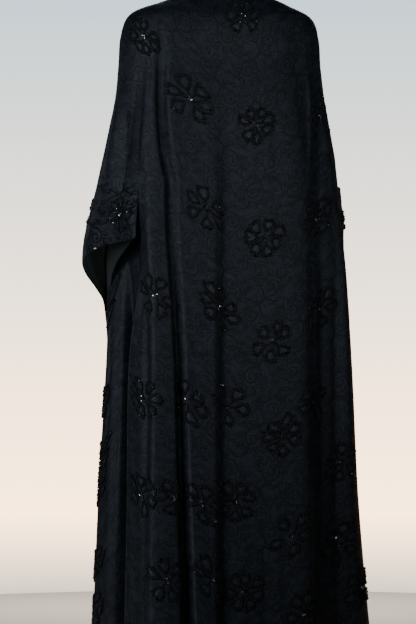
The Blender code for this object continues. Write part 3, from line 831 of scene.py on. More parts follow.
# The reverse of a jacquard is matt and a little greyer, where its loose floats cross it.
reverse = bpy.data.materials.new("matt_reverse_of_the_jacquard")
reverse.use_nodes = True
reverse_shader = reverse.node_tree.nodes["Principled BSDF"]
reverse_cut = add_node(reverse, "ShaderNodeUVMap", {"uv_map": "cut"}, {})[0]
reverse_floats = add_node(
    reverse,
    "ShaderNodeTexNoise",
    {"noise_dimensions": "2D"},
    {"Vector": reverse_cut, "Scale": 60.0, "Detail": 5.0, "Roughness": 0.7},
)[0]
reverse_tone = add_node(
    reverse,
    "ShaderNodeMix",
    {"data_type": "RGBA"},
    {0: reverse_floats, 6: linear("#181d1d"), 7: linear("#2a3130")},
)[2]
reverse_relief = add_node(
    reverse, "ShaderNodeBump", {}, {"Height": reverse_floats, "Strength": 0.4, "Distance": 0.0006}
)[0]
reverse.node_tree.links.new(reverse_tone, reverse_shader.inputs["Base Color"])
reverse.node_tree.links.new(reverse_relief, reverse_shader.inputs["Normal"])
reverse_shader.inputs["Roughness"].default_value = 0.75
reverse_shader.inputs["Specular IOR Level"].default_value = 0.2
reverse_shader.inputs["Sheen Weight"].default_value = 0.05

back = make_sheet("back_jacquard", "back", faces[face_pieces == "back"])
back.data.materials[0] = weave_jacquard("woven_satin_jacquard_back", 0.0)
back.data.materials[1] = reverse
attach(back, "root")
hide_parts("back")

# The left front and the front half of the left sleeve
# The same jacquard, cut with its own scroll repeat. The front edge hangs open beside the
# centre front and carries a turned facing.
front_left = make_sheet("front_left_jacquard", "front_left", faces[face_pieces == "front_left"])
front_left.data.materials[0] = weave_jacquard("woven_satin_jacquard_front_left", 0.37)
front_left.data.materials[1] = reverse
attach(front_left, "root")
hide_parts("front_left")

# The right front and the front half of the right sleeve
# It mirrors the left front, and hangs open beside it.
front_right = make_sheet(
    "front_right_jacquard", "front_right", faces[face_pieces == "front_right"]
)
front_right.data.materials[0] = weave_jacquard("woven_satin_jacquard_front_right", 0.61)
front_right.data.materials[1] = reverse
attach(front_right, "root")
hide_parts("front_right")

# The neck binding
# A strip of plain black satin, folded over the neck's raw edge and stitched along its foot.
# It stands 16 mm high and leans 5 mm in towards the neck.
BAND_COLUMNS = 96
NECK_CENTRE_Y = -10
edge = along_ring(neck, np.linspace(0, LAST_STATION, BAND_COLUMNS + 1))
band_inward = unit(-(edge - (0, NECK_CENTRE_Y, 0)) * (1, 1, 0))
# The strip's section, from its outer foot over the top to its inner foot: inward, up
BAND_SECTION = (
    (0.0, 0.3), (-0.4, 2.0), (0.3, 5.0), (1.4, 9.0), (3.0, 13.0), (4.2, 15.2), (5.4, 16.0),
    (6.6, 15.4), (6.4, 13.4), (5.0, 9.4), (3.6, 5.2), (2.4, 2.0), (2.0, 0.3),
)
band_rows = [edge + band_inward * out + np.array((0, 0, up)) for out, up in BAND_SECTION]
band_points = np.array(band_rows[::-1])
band_grid = np.arange(band_points[:, :, 0].size).reshape(band_points.shape[:2])
band_faces, _ = weave(band_grid, lambda k: "band")
foot = np.column_stack(
    [band_grid[0, :-1], band_grid[0, 1:], band_grid[-1, 1:], band_grid[-1, :-1]]
)
band_faces = np.vstack([band_faces, foot])
ends_of_band = [band_grid[:, 0].tolist(), band_grid[::-1, -1].tolist()]
binding = place_mesh(
    "neck_binding", band_points.reshape(-1, 3), band_faces.tolist() + ends_of_band, True
)


def two_tones(name, dark, light, grain_scale):
    """A material whose colour wanders between two tones, with its shader and its grain."""
    made = bpy.data.materials.new(name)
    made.use_nodes = True
    shader = made.node_tree.nodes["Principled BSDF"]
    place = add_node(made, "ShaderNodeTexCoord", {}, {})[3]
    grain = add_node(
        made, "ShaderNodeTexNoise", {}, {"Vector": place, "Scale": grain_scale, "Detail": 2.0}
    )[0]
    tone = add_node(
        made, "ShaderNodeMix", {"data_type": "RGBA"}, {0: grain, 6: linear(dark), 7: linear(light)}
    )[2]
    made.node_tree.links.new(tone, shader.inputs["Base Color"])
    return made, shader, grain


# Folded polyester satin: an even black with a soft shine and a fine grain
satin, satin_shader, satin_grain = two_tones(
    "folded_black_satin_binding", "#0a0c0e", "#1a1e23", 620.0
)
satin_relief = add_node(
    satin, "ShaderNodeBump", {}, {"Height": satin_grain, "Strength": 0.3, "Distance": 0.0004}
)[0]
satin.node_tree.links.new(satin_relief, satin_shader.inputs["Normal"])
satin_shader.inputs["Roughness"].default_value = 0.42
satin_shader.inputs["Sheen Weight"].default_value = 0.1
binding.data.materials.append(satin)
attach(binding, "root")
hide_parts("neck_band")

# The woven scrolls
# The jacquard loom weaves S-shaped scrolls with curled leaves into the satin, 92 mm wide
# and 132 mm high, in half-drop repeat. They are matt black floats 1 to 4 mm wide, so fine
# that they hardly stand above the ground.
SCROLL_WIDE = 92
SCROLL_HIGH = 132
SCROLL_SCALE = 0.80
FLOAT_HEIGHT = 0.3
# Where the first figure lies: share of a repeat across, and millimetres down
SCROLL_FROM_ACROSS = 0.35
SCROLL_FROM_DOWN = 20
# A figure is woven when its middle lies this close to the cloth, and only as far as the
# points of it that land within the tolerance.
PAST_THE_EDGE = 70
LANDING_TOLERANCE = 1.5
LANDING_ROUNDS = 9
PANELS = ("back", "front_left", "front_right")
back_columns = np.flatnonzero((stations >= ARM) & (stations <= LAST_STATION - ARM))
left_columns = np.flatnonzero(stations <= ARM)
right_columns = np.flatnonzero(stations >= LAST_STATION - ARM)
trunk_grid = np.vstack([cape_grid[:-1], body_grid])
spreads = {}
for name, own_columns, reference in (
    ("back", back_columns, centre),
    ("front_left", left_columns, 0),
    ("front_right", right_columns, len(stations) - 1),
):
    grid = trunk_grid[:, own_columns]
    along = running_length(points[grid], 1)
    at = int(np.searchsorted(own_columns, reference))
    spreads[name] = (grid, along - along[:, at : at + 1], running_length(points[grid], 0))
for side, grid in sleeve_grids.items():
    along = running_length(points[grid], 1)
    shear = np.zeros_like(along)
    for k in range(1, len(along)):
        step = points[grid[k]] - points[grid[k - 1]]
        ahead = unit(np.gradient(points[grid[k]], axis=0) * (1, 1, 0))
        shear[k] = shear[k - 1] + (step * ahead).sum(axis=1)
    across_here = np.repeat(along[:1], len(along), axis=0) + shear
    across_here = np.maximum.accumulate(across_here, axis=1)
    steady = across_here + np.arange(along.shape[1]) * 0.05
    drop_here = np.repeat(points[grid][:, :, 2].max(axis=0)[None], len(along), axis=0)
    spreads[side] = (grid, steady, drop_here - points[grid][:, :, 2])


def read_grid(values, row, column):
    """Read a grid between its points."""
    row = np.clip(row, 0, values.shape[0] - 1.001)
    column = np.clip(column, 0, values.shape[1] - 1.001)
    r, c = row.astype(int), column.astype(int)
    a, b = row - r, column - c
    if values.ndim == 3:
        a, b = a[:, None], b[:, None]
    upper = values[r, c] * (1 - b) + values[r, c + 1] * b
    lower = values[r + 1, c] * (1 - b) + values[r + 1, c + 1] * b
    return upper * (1 - a) + lower * a


def lay_on_cloth(name, row, column, laid):
    """Carry points from flat (across, down, height) round a place onto the hanging cloth.

    The second result tells which of them lie on the cloth, not past its edges.
    """
    grid, along, fall = spreads[name]
    rows = np.full(len(laid), float(row))
    places = np.full(len(laid), float(column))
    goal_across = read_grid(along, rows, places) + laid[:, 0]
    goal_down = read_grid(fall, rows, places) + laid[:, 1]
    for _ in range(LANDING_ROUNDS):
        across_now = read_grid(along, rows, places)
        down_now = read_grid(fall, rows, places)
        wide = read_grid(along, rows, places + 0.5) - read_grid(along, rows, places - 0.5)
        high = read_grid(fall, rows + 0.5, places) - read_grid(fall, rows - 0.5, places)
        places = places + np.clip((goal_across - across_now) / np.maximum(wide, 0.5), -4, 4)
        rows = rows + np.clip((goal_down - down_now) / np.maximum(high, 0.5), -4, 4)
        rows = np.clip(rows, 0, grid.shape[0] - 1.01)
        places = np.clip(places, 0, grid.shape[1] - 1.01)
    missed = np.hypot(
        goal_across - read_grid(along, rows, places), goal_down - read_grid(fall, rows, places)
    )
    base = read_grid(points[grid], rows, places)
    out = unit(read_grid(normals[grid], rows, places))
    return base + out * laid[:, 2:3], missed < LANDING_TOLERANCE


def weave_float(path, widths):
    """A flat strip along a path: its points and faces."""
    along = unit(np.gradient(path, axis=0))
    beside = np.column_stack([-along[:, 1], along[:, 0]]) * (np.asarray(widths) / 2)[:, None]
    count = len(path)
    k = np.arange(count - 1)
    faces = np.column_stack([k, k + 1, k + 1 + count, k + count])
    return np.vstack([path + beside, path - beside]), faces


def draw_scroll(middle, radius, turns, start, hand):
    """A line that winds in to a round end."""
    t = np.linspace(0, 1, 28)
    angle = start + hand * turns * math.tau * t
    reach = radius * np.exp(-1.45 * t)
    path = np.array(middle) + np.column_stack([np.cos(angle), np.sin(angle)]) * reach[:, None]
    widths = 4.4 - 2.0 * t
    widths[-5:] = (3.2, 5.4, 6.6, 5.6, 2.8)
    return path, widths * (0.45 + 0.55 * radius / 26)


def draw_leaf(foot, tip, wide, bend, lobes):
    """A lobed leaf: one half filled, the other in outline."""
    foot, tip = np.array(foot, float), np.array(tip, float)
    t = np.linspace(0, 1, 13)
    ahead = tip - foot
    beside = np.array((-ahead[1], ahead[0])) / np.linalg.norm(ahead)
    spine = foot + ahead * t[:, None] + beside * (bend * np.sin(math.pi * t))[:, None]
    width = wide * np.sin(math.pi * t ** 0.75) * (1 + 0.30 * np.cos(t * math.tau * lobes))
    filled = spine + beside * (width * 0.32)[:, None]
    outlined = spine - beside * width[:, None]
    return [(filled, np.maximum(width * 0.66, 1.3)), (outlined, np.full(len(t), 1.9))]


# The main curl of half a figure, and its stem's four control points
CURL_X, CURL_Y = -27, -36
CURL_RADIUS = 25
STEM = ((0, 0), (-4, -7), (-14, -10.5), (CURL_X, CURL_Y + CURL_RADIUS))
# Leaves round the main curl: angle in degrees, length, half width, bend
LEAF_RING_RADIUS = 26
LEAF_SWEEP = 0.36
CURL_LEAVES = (
    (150, 20, 7, 4), (186, 24, 8, 5), (222, 26, 9, 5),
    (258, 26, 9, 5), (294, 24, 8, 5), (330, 20, 7, 4),
)
# Leaves off the stem: foot, tip, half width, bend, lobes
STEM_LEAVES = (
    ((-5, -9), (8, -42), 8, -7, 3),
    ((-10, -7), (-46, 6), 7, -6, 3),
    ((-30, 8), (-64, 2), 6, 5, 2),
)
# Small curls: middle, radius, turns, angle at the start in radians, hand
SMALL_CURLS = (
    ((20, -58), 12, 1.2, math.pi * 0.75, 1),
    ((2, -72), 9, 1.1, 0.2, -1),
    ((-56, 22), 11, 1.2, -0.6, 1),
    ((-38, 36), 8, 1.1, 2.4, -1),
)
DOTS = 3


def draw_half():
    """Half of one scroll figure; the other half is the same, turned half round."""
    strips = [draw_scroll((CURL_X, CURL_Y), CURL_RADIUS, 1.5, math.pi / 2, 1)]
    t = np.linspace(0, 1, 12)[:, None]
    ends = np.array(STEM, float)
    stem = (
        ends[0] * (1 - t) ** 3
        + ends[1] * 3 * t * (1 - t) ** 2
        + ends[2] * 3 * t * t * (1 - t)
        + ends[3] * t ** 3
    )
    strips.append((stem, np.full(len(stem), 4.2)))
    strips.append((stem + (2.5, 6.5), 2.4 - 1.0 * t[:, 0]))
    for angle, reach, wide, bend in CURL_LEAVES:
        ends_of_leaf = []
        for turn, far in (
            (math.radians(angle), LEAF_RING_RADIUS),
            (math.radians(angle) + LEAF_SWEEP, LEAF_RING_RADIUS + reach),
        ):
            ends_of_leaf.append((CURL_X + far * math.cos(turn), CURL_Y + far * math.sin(turn)))
        strips.extend(draw_leaf(*ends_of_leaf, wide, bend, 3))
    for leaf in STEM_LEAVES:
        strips.extend(draw_leaf(*leaf))
    for curl in SMALL_CURLS:
        strips.append(draw_scroll(*curl))
    for k in range(DOTS):
        spot = np.array((22 + k * 9, -34 - 5 * math.sin(k * 1.7)))
        dot = spot + np.array(((-2.2, 0), (-1.1, 0), (0, 0), (1.1, 0), (2.2, 0)))
        strips.append((dot, (1.4, 3.8, 4.4, 3.8, 1.4)))
    return strips


figure_points, figure_faces = [], []
start = 0
for path, widths in draw_half():
    for turned in (1, -1):
        strip_points, strip_faces = weave_float(np.array(path) * turned, widths)
        figure_points.append(strip_points * SCROLL_SCALE)
        figure_faces.append(strip_faces + start)
        start += len(strip_points)
figure_points = np.vstack(figure_points)
figure_faces = np.vstack(figure_faces)

# Matt floats scatter the light evenly, so they stay dark where the satin ground shines.
matt_float, float_shader, _ = two_tones("matt_black_woven_float", "#0a0c0e", "#13161a", 500.0)
float_shader.inputs["Roughness"].default_value = 0.62
float_shader.inputs["Specular IOR Level"].default_value = 0.27
woven = {}
for panel, spread, faces_out in (
    ("back", "back", 1),
    ("back", "left", 1),
    ("back", "right", -1),
    ("front_left", "front_left", 1),
    ("front_left", "left", 1),
    ("front_right", "front_right", 1),
    ("front_right", "right", -1),
):
    grid, along, fall = spreads[spread]
    own = np.ones(grid.shape[1], bool)
    if spread in sleeve_loops:
        loop = sleeve_loops[spread]
        own = (loop >= 2) & (loop <= 6) if panel == "back" else (loop <= 2) | (loop >= 6)
    kept_points, kept_faces = woven.setdefault(panel, ([], []))
    lowest = math.floor(fall.min() / SCROLL_HIGH) - 1
    first, last = math.floor(along.min() / SCROLL_WIDE), math.ceil(along.max() / SCROLL_WIDE)
    for column_number in range(first, last + 1):
        for row_number in range(lowest, math.ceil(fall.max() / SCROLL_HIGH) + 1):
            at_across = (column_number + SCROLL_FROM_ACROSS) * SCROLL_WIDE
            half_drop = 0.5 * (column_number % 2)
            at_down = (row_number + half_drop) * SCROLL_HIGH + SCROLL_FROM_DOWN
            apart = abs(along - at_across) + abs(fall - at_down)
            row, column = np.unravel_index(int(np.argmin(apart)), apart.shape)
            shift = (at_across - along[row, column], at_down - fall[row, column])
            if abs(shift[0]) + abs(shift[1]) > PAST_THE_EDGE:
                continue
            facing = 1 if column_number % 2 else -1
            heights = np.full(len(figure_points), FLOAT_HEIGHT)
            laid = np.column_stack([figure_points * (facing, 1) + shift, heights])
            carried, on_cloth = lay_on_cloth(spread, row, column, laid)
            numbers = figure_faces[on_cloth[figure_faces].all(axis=1)]
            if facing * faces_out < 0:
                numbers = numbers[:, ::-1]
            kept_faces.append(numbers + sum(len(part) for part in kept_points))
            kept_points.append(carried)
on_panel = {panel: [] for panel in PANELS}
for panel, (kept_points, kept_faces) in woven.items():
    kept_points, kept_faces = np.vstack(kept_points), np.vstack(kept_faces)
    used, numbers = np.unique(kept_faces, return_inverse=True)
    numbers = numbers.reshape(kept_faces.shape).tolist()
    made = place_mesh(panel + "_woven_scrolls", kept_points[used], numbers, True)
    made.data.materials.append(matt_float)
    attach(made, "root")
    on_panel[panel].append(made)

# The applique flowers
# Each is a ring of five to seven broad satin petals, sewn down with a knotted cord round
# every petal, and a few faceted beads in the open middle. One or two are crystal. The
# flowers at the nape and on the sleeves also have small beads scattered over them.
# Each flower: its station, the drop to its middle, and its radius
FLOWERS_BACK = (
    (7.98, 58, 40), (5.46, 108, 38), (6.93, 241, 52), (8.16, 295, 43), (9.80, 273, 44),
    (7.28, 477, 46), (8.25, 538, 46), (9.30, 494, 44), (6.27, 662, 46), (7.46, 688, 46),
    (9.26, 688, 44), (8.35, 761, 46), (5.90, 882, 44), (6.86, 886, 46), (7.58, 897, 46),
    (8.98, 890, 44), (8.42, 965, 44), (9.56, 1021, 44), (5.90, 1084, 44), (6.62, 1090, 44),
    (7.12, 1105, 44), (7.65, 1101, 44), (8.48, 1172, 46), (9.45, 1198, 44), (6.48, 1262, 46),
    (7.22, 1262, 44), (7.75, 1290, 44), (8.61, 1337, 46), (9.75, 1294, 44), (6.30, 1415, 42),
    (7.25, 1410, 42), (8.20, 1420, 42), (9.15, 1412, 42),
)
FLOWERS_SIDE = ((1.80, 897, 38), (1.80, 1084, 38), (1.80, 1251, 38))
# On the sleeves: side, place round the sleeve, drop, radius
SLEEVE_FLOWERS = (
    ("left", 3.42, 486, 35), ("left", 1.1, 470, 42), ("left", 5.2, 500, 38),
    ("right", 3.0, 470, 42), ("right", 1.2, 500, 42), ("right", 5.2, 505, 38),
)
# Stations of the fronts' flowers, in rows that take turns
FRONT_ROWS = ((0.5, 1.4), (0.95, 1.8, 3.4))
FRONT_ROWS_FROM = 200
FRONT_ROW_PITCH = 165
FRONT_RADIUS = 45
FLOWER_SPREAD = 1.06
# A petal's length, half width and foot, as shares of the flower's radius
PETAL_LENGTHS = (0.48, 0.64)
PETAL_HALF_WIDTHS = (0.23, 0.31)
PETAL_FEET = (0.28, 0.38)
PETAL_STEPS = 48
PETAL_ROWS = 9
CORD_RADIUS = 2.0
CORD_SIDES = 4
BEAD_RADIUS = 2.1
BEADS_ON_NAPE_FLOWER = 12
BEADS_ON_SLEEVE_FLOWER = 16
NAPE_DROP = 90


def lay_cord(path, radius, closed):
    """Points and faces of a knotted cord that lies flat along a path."""
    ahead = np.roll(path, -1, axis=0)
    behind = np.roll(path, 1, axis=0)
    if not closed:
        ahead[-1] = path[-1]
        behind[0] = path[0]
    along = unit(ahead - behind)
    beside = np.column_stack([-along[:, 1], along[:, 0]])
    knots = 0.95 + 0.42 * np.cos(np.arange(len(path)) * math.tau / 3.6)
    knots += 0.16 * np.cos(np.arange(len(path)) * 1.1)
    turns = np.arange(CORD_SIDES) * math.tau / CORD_SIDES
    rings = []
    for turn in turns:
        wide = radius * knots * math.cos(turn)
        high = radius * knots * math.sin(turn) + radius * 0.9
        rings.append(np.column_stack([path + beside * wide[:, None], high]))
    made = np.stack(rings, axis=1)
    count = len(path)
    loops = count if closed else count - 1
    numbers = []
    for k in range(loops):
        following = (k + 1) % count
        for s in range(CORD_SIDES):
            t = (s + 1) % CORD_SIDES
            numbers.append(
                (
                    k * CORD_SIDES + s,
                    following * CORD_SIDES + s,
                    following * CORD_SIDES + t,
                    k * CORD_SIDES + t,
                )
            )
    return made.reshape(-1, 3), numbers


def make_petal(angle, radius, chance):
    """Outline and puffed face of one petal, flat round the flower's middle."""
    length = radius * chance.uniform(*PETAL_LENGTHS)
    wide = radius * chance.uniform(*PETAL_HALF_WIDTHS)
    start = radius * chance.uniform(*PETAL_FEET)
    bend = chance.uniform(-0.22, 0.22) * length
    pointing = np.array((math.sin(angle), -math.cos(angle)))
    side = np.array((pointing[1], -pointing[0]))
    # The edge runs from the narrow foot up one side, round the broad tip and back.
    turns = np.linspace(0, math.tau, PETAL_STEPS, endpoint=False)
    share = 0.5 - 0.5 * np.cos(turns)
    waves = 0.8 * np.cos(turns * chance.choice((8, 9, 10, 11)) + chance.uniform(0, 6))
    waves += 0.4 * np.cos(turns * chance.choice((3, 4, 5)) + chance.uniform(0, 6))
    teeth = np.arcsin(np.clip(waves, -1, 1)) / 1.571 * ease(share * 1.6)
    width = wide * np.sin(turns) * (0.34 + 0.92 * share) * (1 + 0.25 * teeth)
    reach = start + length * share * (1 + 0.14 * teeth)
    outline = pointing * reach[:, None] + side * (bend * share ** 2 + width)[:, None]
    s = np.linspace(0, 1, PETAL_ROWS)
    half_width = wide * 2 * np.sqrt(s * (1 - s)) * (0.34 + 0.92 * s)
    gathers = chance.uniform(2.2, 3.4)
    rows = []
    for j in np.linspace(-1, 1, PETAL_ROWS):
        place = pointing * (start + length * s)[:, None]
        place = place + side * (bend * s * s + half_width * j)[:, None]
        puff = 0.7 + 0.9 * (1 - j * j) * np.sin(math.pi * s) ** 0.6
        puff = puff + 0.5 * math.cos(j * math.pi * gathers) * np.sin(math.pi * s)
        rows.append(np.column_stack([place, puff]))
    return outline, np.array(rows), start, pointing, side


BEAD_PROFILE = ((0.0, -0.8), (0.75, -0.55), (1.0, 0.0), (0.62, 0.62), (0.0, 0.8))
BEAD_SIDES = 6


def make_bead(middle, height, radius, turn):
    """A bead cut with six sides and a small table."""
    made, numbers = [], []
    for out, up in BEAD_PROFILE:
        for k in range(BEAD_SIDES):
            at = turn + k * math.tau / BEAD_SIDES
            made.append(
                (
                    middle[0] + math.cos(at) * out * radius,
                    middle[1] + math.sin(at) * out * radius,
                    height + up * radius,
                )
            )
    for ring in range(len(BEAD_PROFILE) - 1):
        for k in range(BEAD_SIDES):
            following = (k + 1) % BEAD_SIDES
            numbers.append(
                (
                    ring * BEAD_SIDES + k,
                    ring * BEAD_SIDES + following,
                    (ring + 1) * BEAD_SIDES + following,
                    (ring + 1) * BEAD_SIDES + k,
                )
            )
    return np.array(made), numbers


KINDS = ("petals", "cords", "beads", "crystals")
sewn = {(panel, kind): ([], []) for panel in PANELS for kind in KINDS}


def sew_flower(panel, spread, row, column, radius, seed, scattered=0):
    """Sew one flower on its panel, with small beads scattered over it if it has them."""
    chance = np.random.RandomState(seed)
    radius *= FLOWER_SPREAD
    parts = []
    petals = chance.choice((5, 6, 6, 7))
    turn = chance.uniform(0, math.tau)
    for k in range(petals):
        angle = turn + (k + chance.uniform(-0.16, 0.16)) * math.tau / petals
        outline, face_rows, start, pointing, side = make_petal(angle, radius, chance)
        count_j, count_i = face_rows.shape[:2]
        numbers = []
        for j in range(count_j - 1):
            for i in range(count_i - 1):
                at = j * count_i + i
                numbers.append((at, at + 1, at + count_i + 1, at + count_i))
        parts.append(("petals", face_rows.reshape(-1, 3), numbers))
        parts.append(("cords", *lay_cord(outline, CORD_RADIUS, True)))
        heart = outline.mean(axis=0)
        inner = heart + (outline[::3] - heart) * chance.uniform(0.55, 0.74)
        parts.append(("cords", *lay_cord(inner, CORD_RADIUS * 0.7, True)))
        if chance.uniform() < 0.7:
            reach = np.linspace(start, radius * chance.uniform(0.06, 0.16), 9)
            sway = np.sin(np.linspace(0, math.pi, 9)) * chance.uniform(-3, 3)
            path = pointing * reach[:, None] + side * sway[:, None]
            parts.append(("cords", *lay_cord(path, CORD_RADIUS * 0.8, False)))
        if chance.uniform() < 0.3:
            spot = pointing * (start + radius * 0.42)
            parts.append(("beads", *make_bead(spot, 2.4, BEAD_RADIUS * 0.8, chance.uniform(0, 1))))
        if chance.uniform() < 0.6:
            spot = outline[PETAL_STEPS // 2 + chance.randint(-6, 7)]
            parts.append(("beads", *make_bead(spot, 3.2, BEAD_RADIUS * 1.2, chance.uniform(0, 1))))
    for k in range(chance.randint(4, 7)):
        spot = np.array((chance.uniform(-5.5, 5.5), chance.uniform(-5.5, 5.5)))
        kind = "crystals" if k == 0 or chance.uniform() < 0.2 else "beads"
        parts.append((kind, *make_bead(spot, 2.2, BEAD_RADIUS, chance.uniform(0, 1))))
    for k in range(scattered):
        angle, out = chance.uniform(0, math.tau), radius * chance.uniform(0.2, 0.8)
        spot = np.array((math.sin(angle) * out, math.cos(angle) * out))
        kind = "crystals" if k % 3 == 0 else "beads"
        parts.append((kind, *make_bead(spot, 3.0, BEAD_RADIUS * 0.6, chance.uniform(0, 1))))
    laid, _ = lay_on_cloth(spread, row, column, np.vstack([part[1] for part in parts]))
    taken = 0
    for kind, made, numbers in parts:
        kept_points, kept_faces = sewn[(panel, kind)]
        start = sum(len(part) for part in kept_points)
        kept_points.append(laid[taken : taken + len(made)])
        kept_faces.extend(tuple(number + start for number in face) for face in numbers)
        taken += len(made)


def find_place(name, own_columns, station, drop):
    """Row and column of a panel's grid at a station and a drop."""
    grid = spreads[name][0]
    row_stations = stations_of(columns[own_columns], drop)
    column = float(np.interp(station, row_stations, np.arange(len(own_columns))))
    heights = -points[grid[:, int(round(column))], 2]
    return float(np.interp(drop, heights, np.arange(len(heights)))), column


def find_on_sleeve(side, place, drop):
    """Row and column of a sleeve's grid at a place round it and a drop."""
    grid = sleeve_grids[side]
    column = float(np.interp(place, sleeve_loops[side], np.arange(grid.shape[1])))
    heights = -points[grid[:, int(round(column))], 2]
    return float(np.interp(drop, heights, np.arange(len(heights)))), column


seed = 11
for station, drop, radius in FLOWERS_BACK:
    row, column = find_place("back", back_columns, station, drop)
    scattered = BEADS_ON_NAPE_FLOWER if drop < NAPE_DROP else 0
    sew_flower("back", "back", row, column, radius, seed, scattered)
    seed += 1
for station, drop, radius in FLOWERS_SIDE:
    row, column = find_place("front_left", left_columns, station, drop)
    sew_flower("front_left", "front_left", row, column, radius, seed)
    seed += 1
for side, place, drop, radius in SLEEVE_FLOWERS:
    row, column = find_on_sleeve(side, place, drop)
    panel = "back" if 2 < place < 6 else "front_" + side
    sew_flower(panel, side, row, column, radius, seed, BEADS_ON_SLEEVE_FLOWER)
    seed += 1
for number, drop in enumerate(range(FRONT_ROWS_FROM, HEM_DROP - FRONT_RADIUS, FRONT_ROW_PITCH)):
    for station in FRONT_ROWS[number % 2]:
        if station > FRONT_CORNER and drop < SPLIT_DROP + 3 * FRONT_RADIUS:
            continue
        if station < FRONT_CORNER:
            row, column = find_place("front_left", left_columns, station, drop)
            sew_flower("front_left", "front_left", row, column, FRONT_RADIUS, seed)
        row, column = find_place("front_right", right_columns, LAST_STATION - station, drop)
        sew_flower("front_right", "front_right", row, column, FRONT_RADIUS, seed + 1)
        seed += 2

# Two glass beads, larger than the rest, lie on the skirt's right and by the left cuff. Their pale
# warm colour is a painted glint of warm light caught on them.
LARGE_BEAD_RADIUS = 3.4
sewn[("back", "cream_beads")] = ([], [])
for spread, row, column in (
    ("back", *find_place("back", back_columns, 9.38, 1185)),
    ("left", *find_on_sleeve("left", 2.80, 560)),
):
    bead, numbers = make_bead((0, 0), 2.6, LARGE_BEAD_RADIUS, 0.3)
    kept_points, kept_faces = sewn[("back", "cream_beads")]
    start = sum(len(part) for part in kept_points)
    kept_points.append(lay_on_cloth(spread, row, column, bead)[0])
    kept_faces.extend(tuple(number + start for number in face) for face in numbers)

# Puffed polyester satin, near black. Its colour is lighter in noise patches, a painted sheen
# standing for the soft shine of the puffs.
petal_satin = bpy.data.materials.new("black_petal_satin")
petal_satin.use_nodes = True
petal_shader = petal_satin.node_tree.nodes["Principled BSDF"]
petal_place = add_node(petal_satin, "ShaderNodeTexCoord", {}, {})[3]
petal_grain = add_node(
    petal_satin, "ShaderNodeTexNoise", {}, {"Vector": petal_place, "Scale": 120.0, "Detail": 3.0}
)[0]
# Lighter patches laid into the petals' colour: painted sheen.
petal_painted_sheen_patches = add_node(
    petal_satin,
    "ShaderNodeMapRange",
    {},
    {"Value": petal_grain, "From Min": 0.38, "From Max": 0.62},
)[0]
petal_tone_with_painted_sheen = add_node(
    petal_satin,
    "ShaderNodeMix",
    {"data_type": "RGBA"},
    {0: petal_painted_sheen_patches, 6: linear("#08090b"), 7: linear("#1e2327")},
)[2]
petal_relief = add_node(
    petal_satin, "ShaderNodeBump", {}, {"Height": petal_grain, "Strength": 0.4, "Distance": 0.0008}
)[0]
petal_satin.node_tree.links.new(petal_tone_with_painted_sheen, petal_shader.inputs["Base Color"])
petal_satin.node_tree.links.new(petal_relief, petal_shader.inputs["Normal"])
petal_shader.inputs["Roughness"].default_value = 0.55
petal_shader.inputs["Specular IOR Level"].default_value = 0.36
petal_shader.inputs["Sheen Weight"].default_value = 0.12

# Twisted viscose cord is a deep dull black, so it draws a dark line round each petal.
cord_yarn, cord_shader, cord_twist = two_tones("twisted_black_cord", "#060708", "#0f1114", 700.0)
cord_relief = add_node(
    cord_yarn, "ShaderNodeBump", {}, {"Height": cord_twist, "Strength": 0.6, "Distance": 0.0006}
)[0]
cord_yarn.node_tree.links.new(cord_relief, cord_shader.inputs["Normal"])
cord_shader.inputs["Roughness"].default_value = 0.66
cord_shader.inputs["Specular IOR Level"].default_value = 0.36

# Cut jet glass is black with sharp small highlights. Its facets show a faint smoky tint.
jet, jet_shader, _ = two_tones("cut_jet_glass", "#050607", "#15181c", 400.0)
jet_shader.inputs["Roughness"].default_value = 0.06
jet_shader.inputs["IOR"].default_value = 1.6

# Foil-backed crystal throws the light back white, from facets that are mirror smooth.
crystal, crystal_shader, _ = two_tones("foil_backed_crystal", "#c9d2da", "#ffffff", 300.0)
crystal_shader.inputs["Roughness"].default_value = 0.08
crystal_shader.inputs["Metallic"].default_value = 0.9

# The large beads' glass has a soft gloss and shows faint clouds. Its pale warm cream colour is a
# painted glint of warm light.
glass_with_painted_warm_glint, glass_with_painted_warm_glint_shader, _ = two_tones("bead_glass_painted_warm_glint", "#e6d6bf", "#f4ead8", 300.0)
glass_with_painted_warm_glint_shader.inputs["Roughness"].default_value = 0.28

FINISHES = {
    "petals": petal_satin,
    "cords": cord_yarn,
    "beads": jet,
    "crystals": crystal,
    "cream_beads": glass_with_painted_warm_glint,
}
for (panel, kind), (kept_points, kept_faces) in sewn.items():
    rounded = kind in ("petals", "cords")
    made = place_mesh(panel + "_flower_" + kind, np.vstack(kept_points), kept_faces, rounded)
    made.data.materials.append(FINISHES[kind])
    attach(made, "root")
    on_panel[panel].append(made)

# The topstitching
# One row of black polyester thread holds the turned hem 22 mm up, the cuffs' hems 18 mm up
# and the front facings 30 mm in. The stitches are 3.2 mm long and lie on the satin.
STITCH_LONG, STITCH_PITCH, THREAD_WIDE, THREAD_LIFT = 3.2, 4.2, 0.7, 0.45
CUFF_DEEP, FACING_WIDE = 18, 30
stitched = {panel: ([], []) for panel in PANELS}


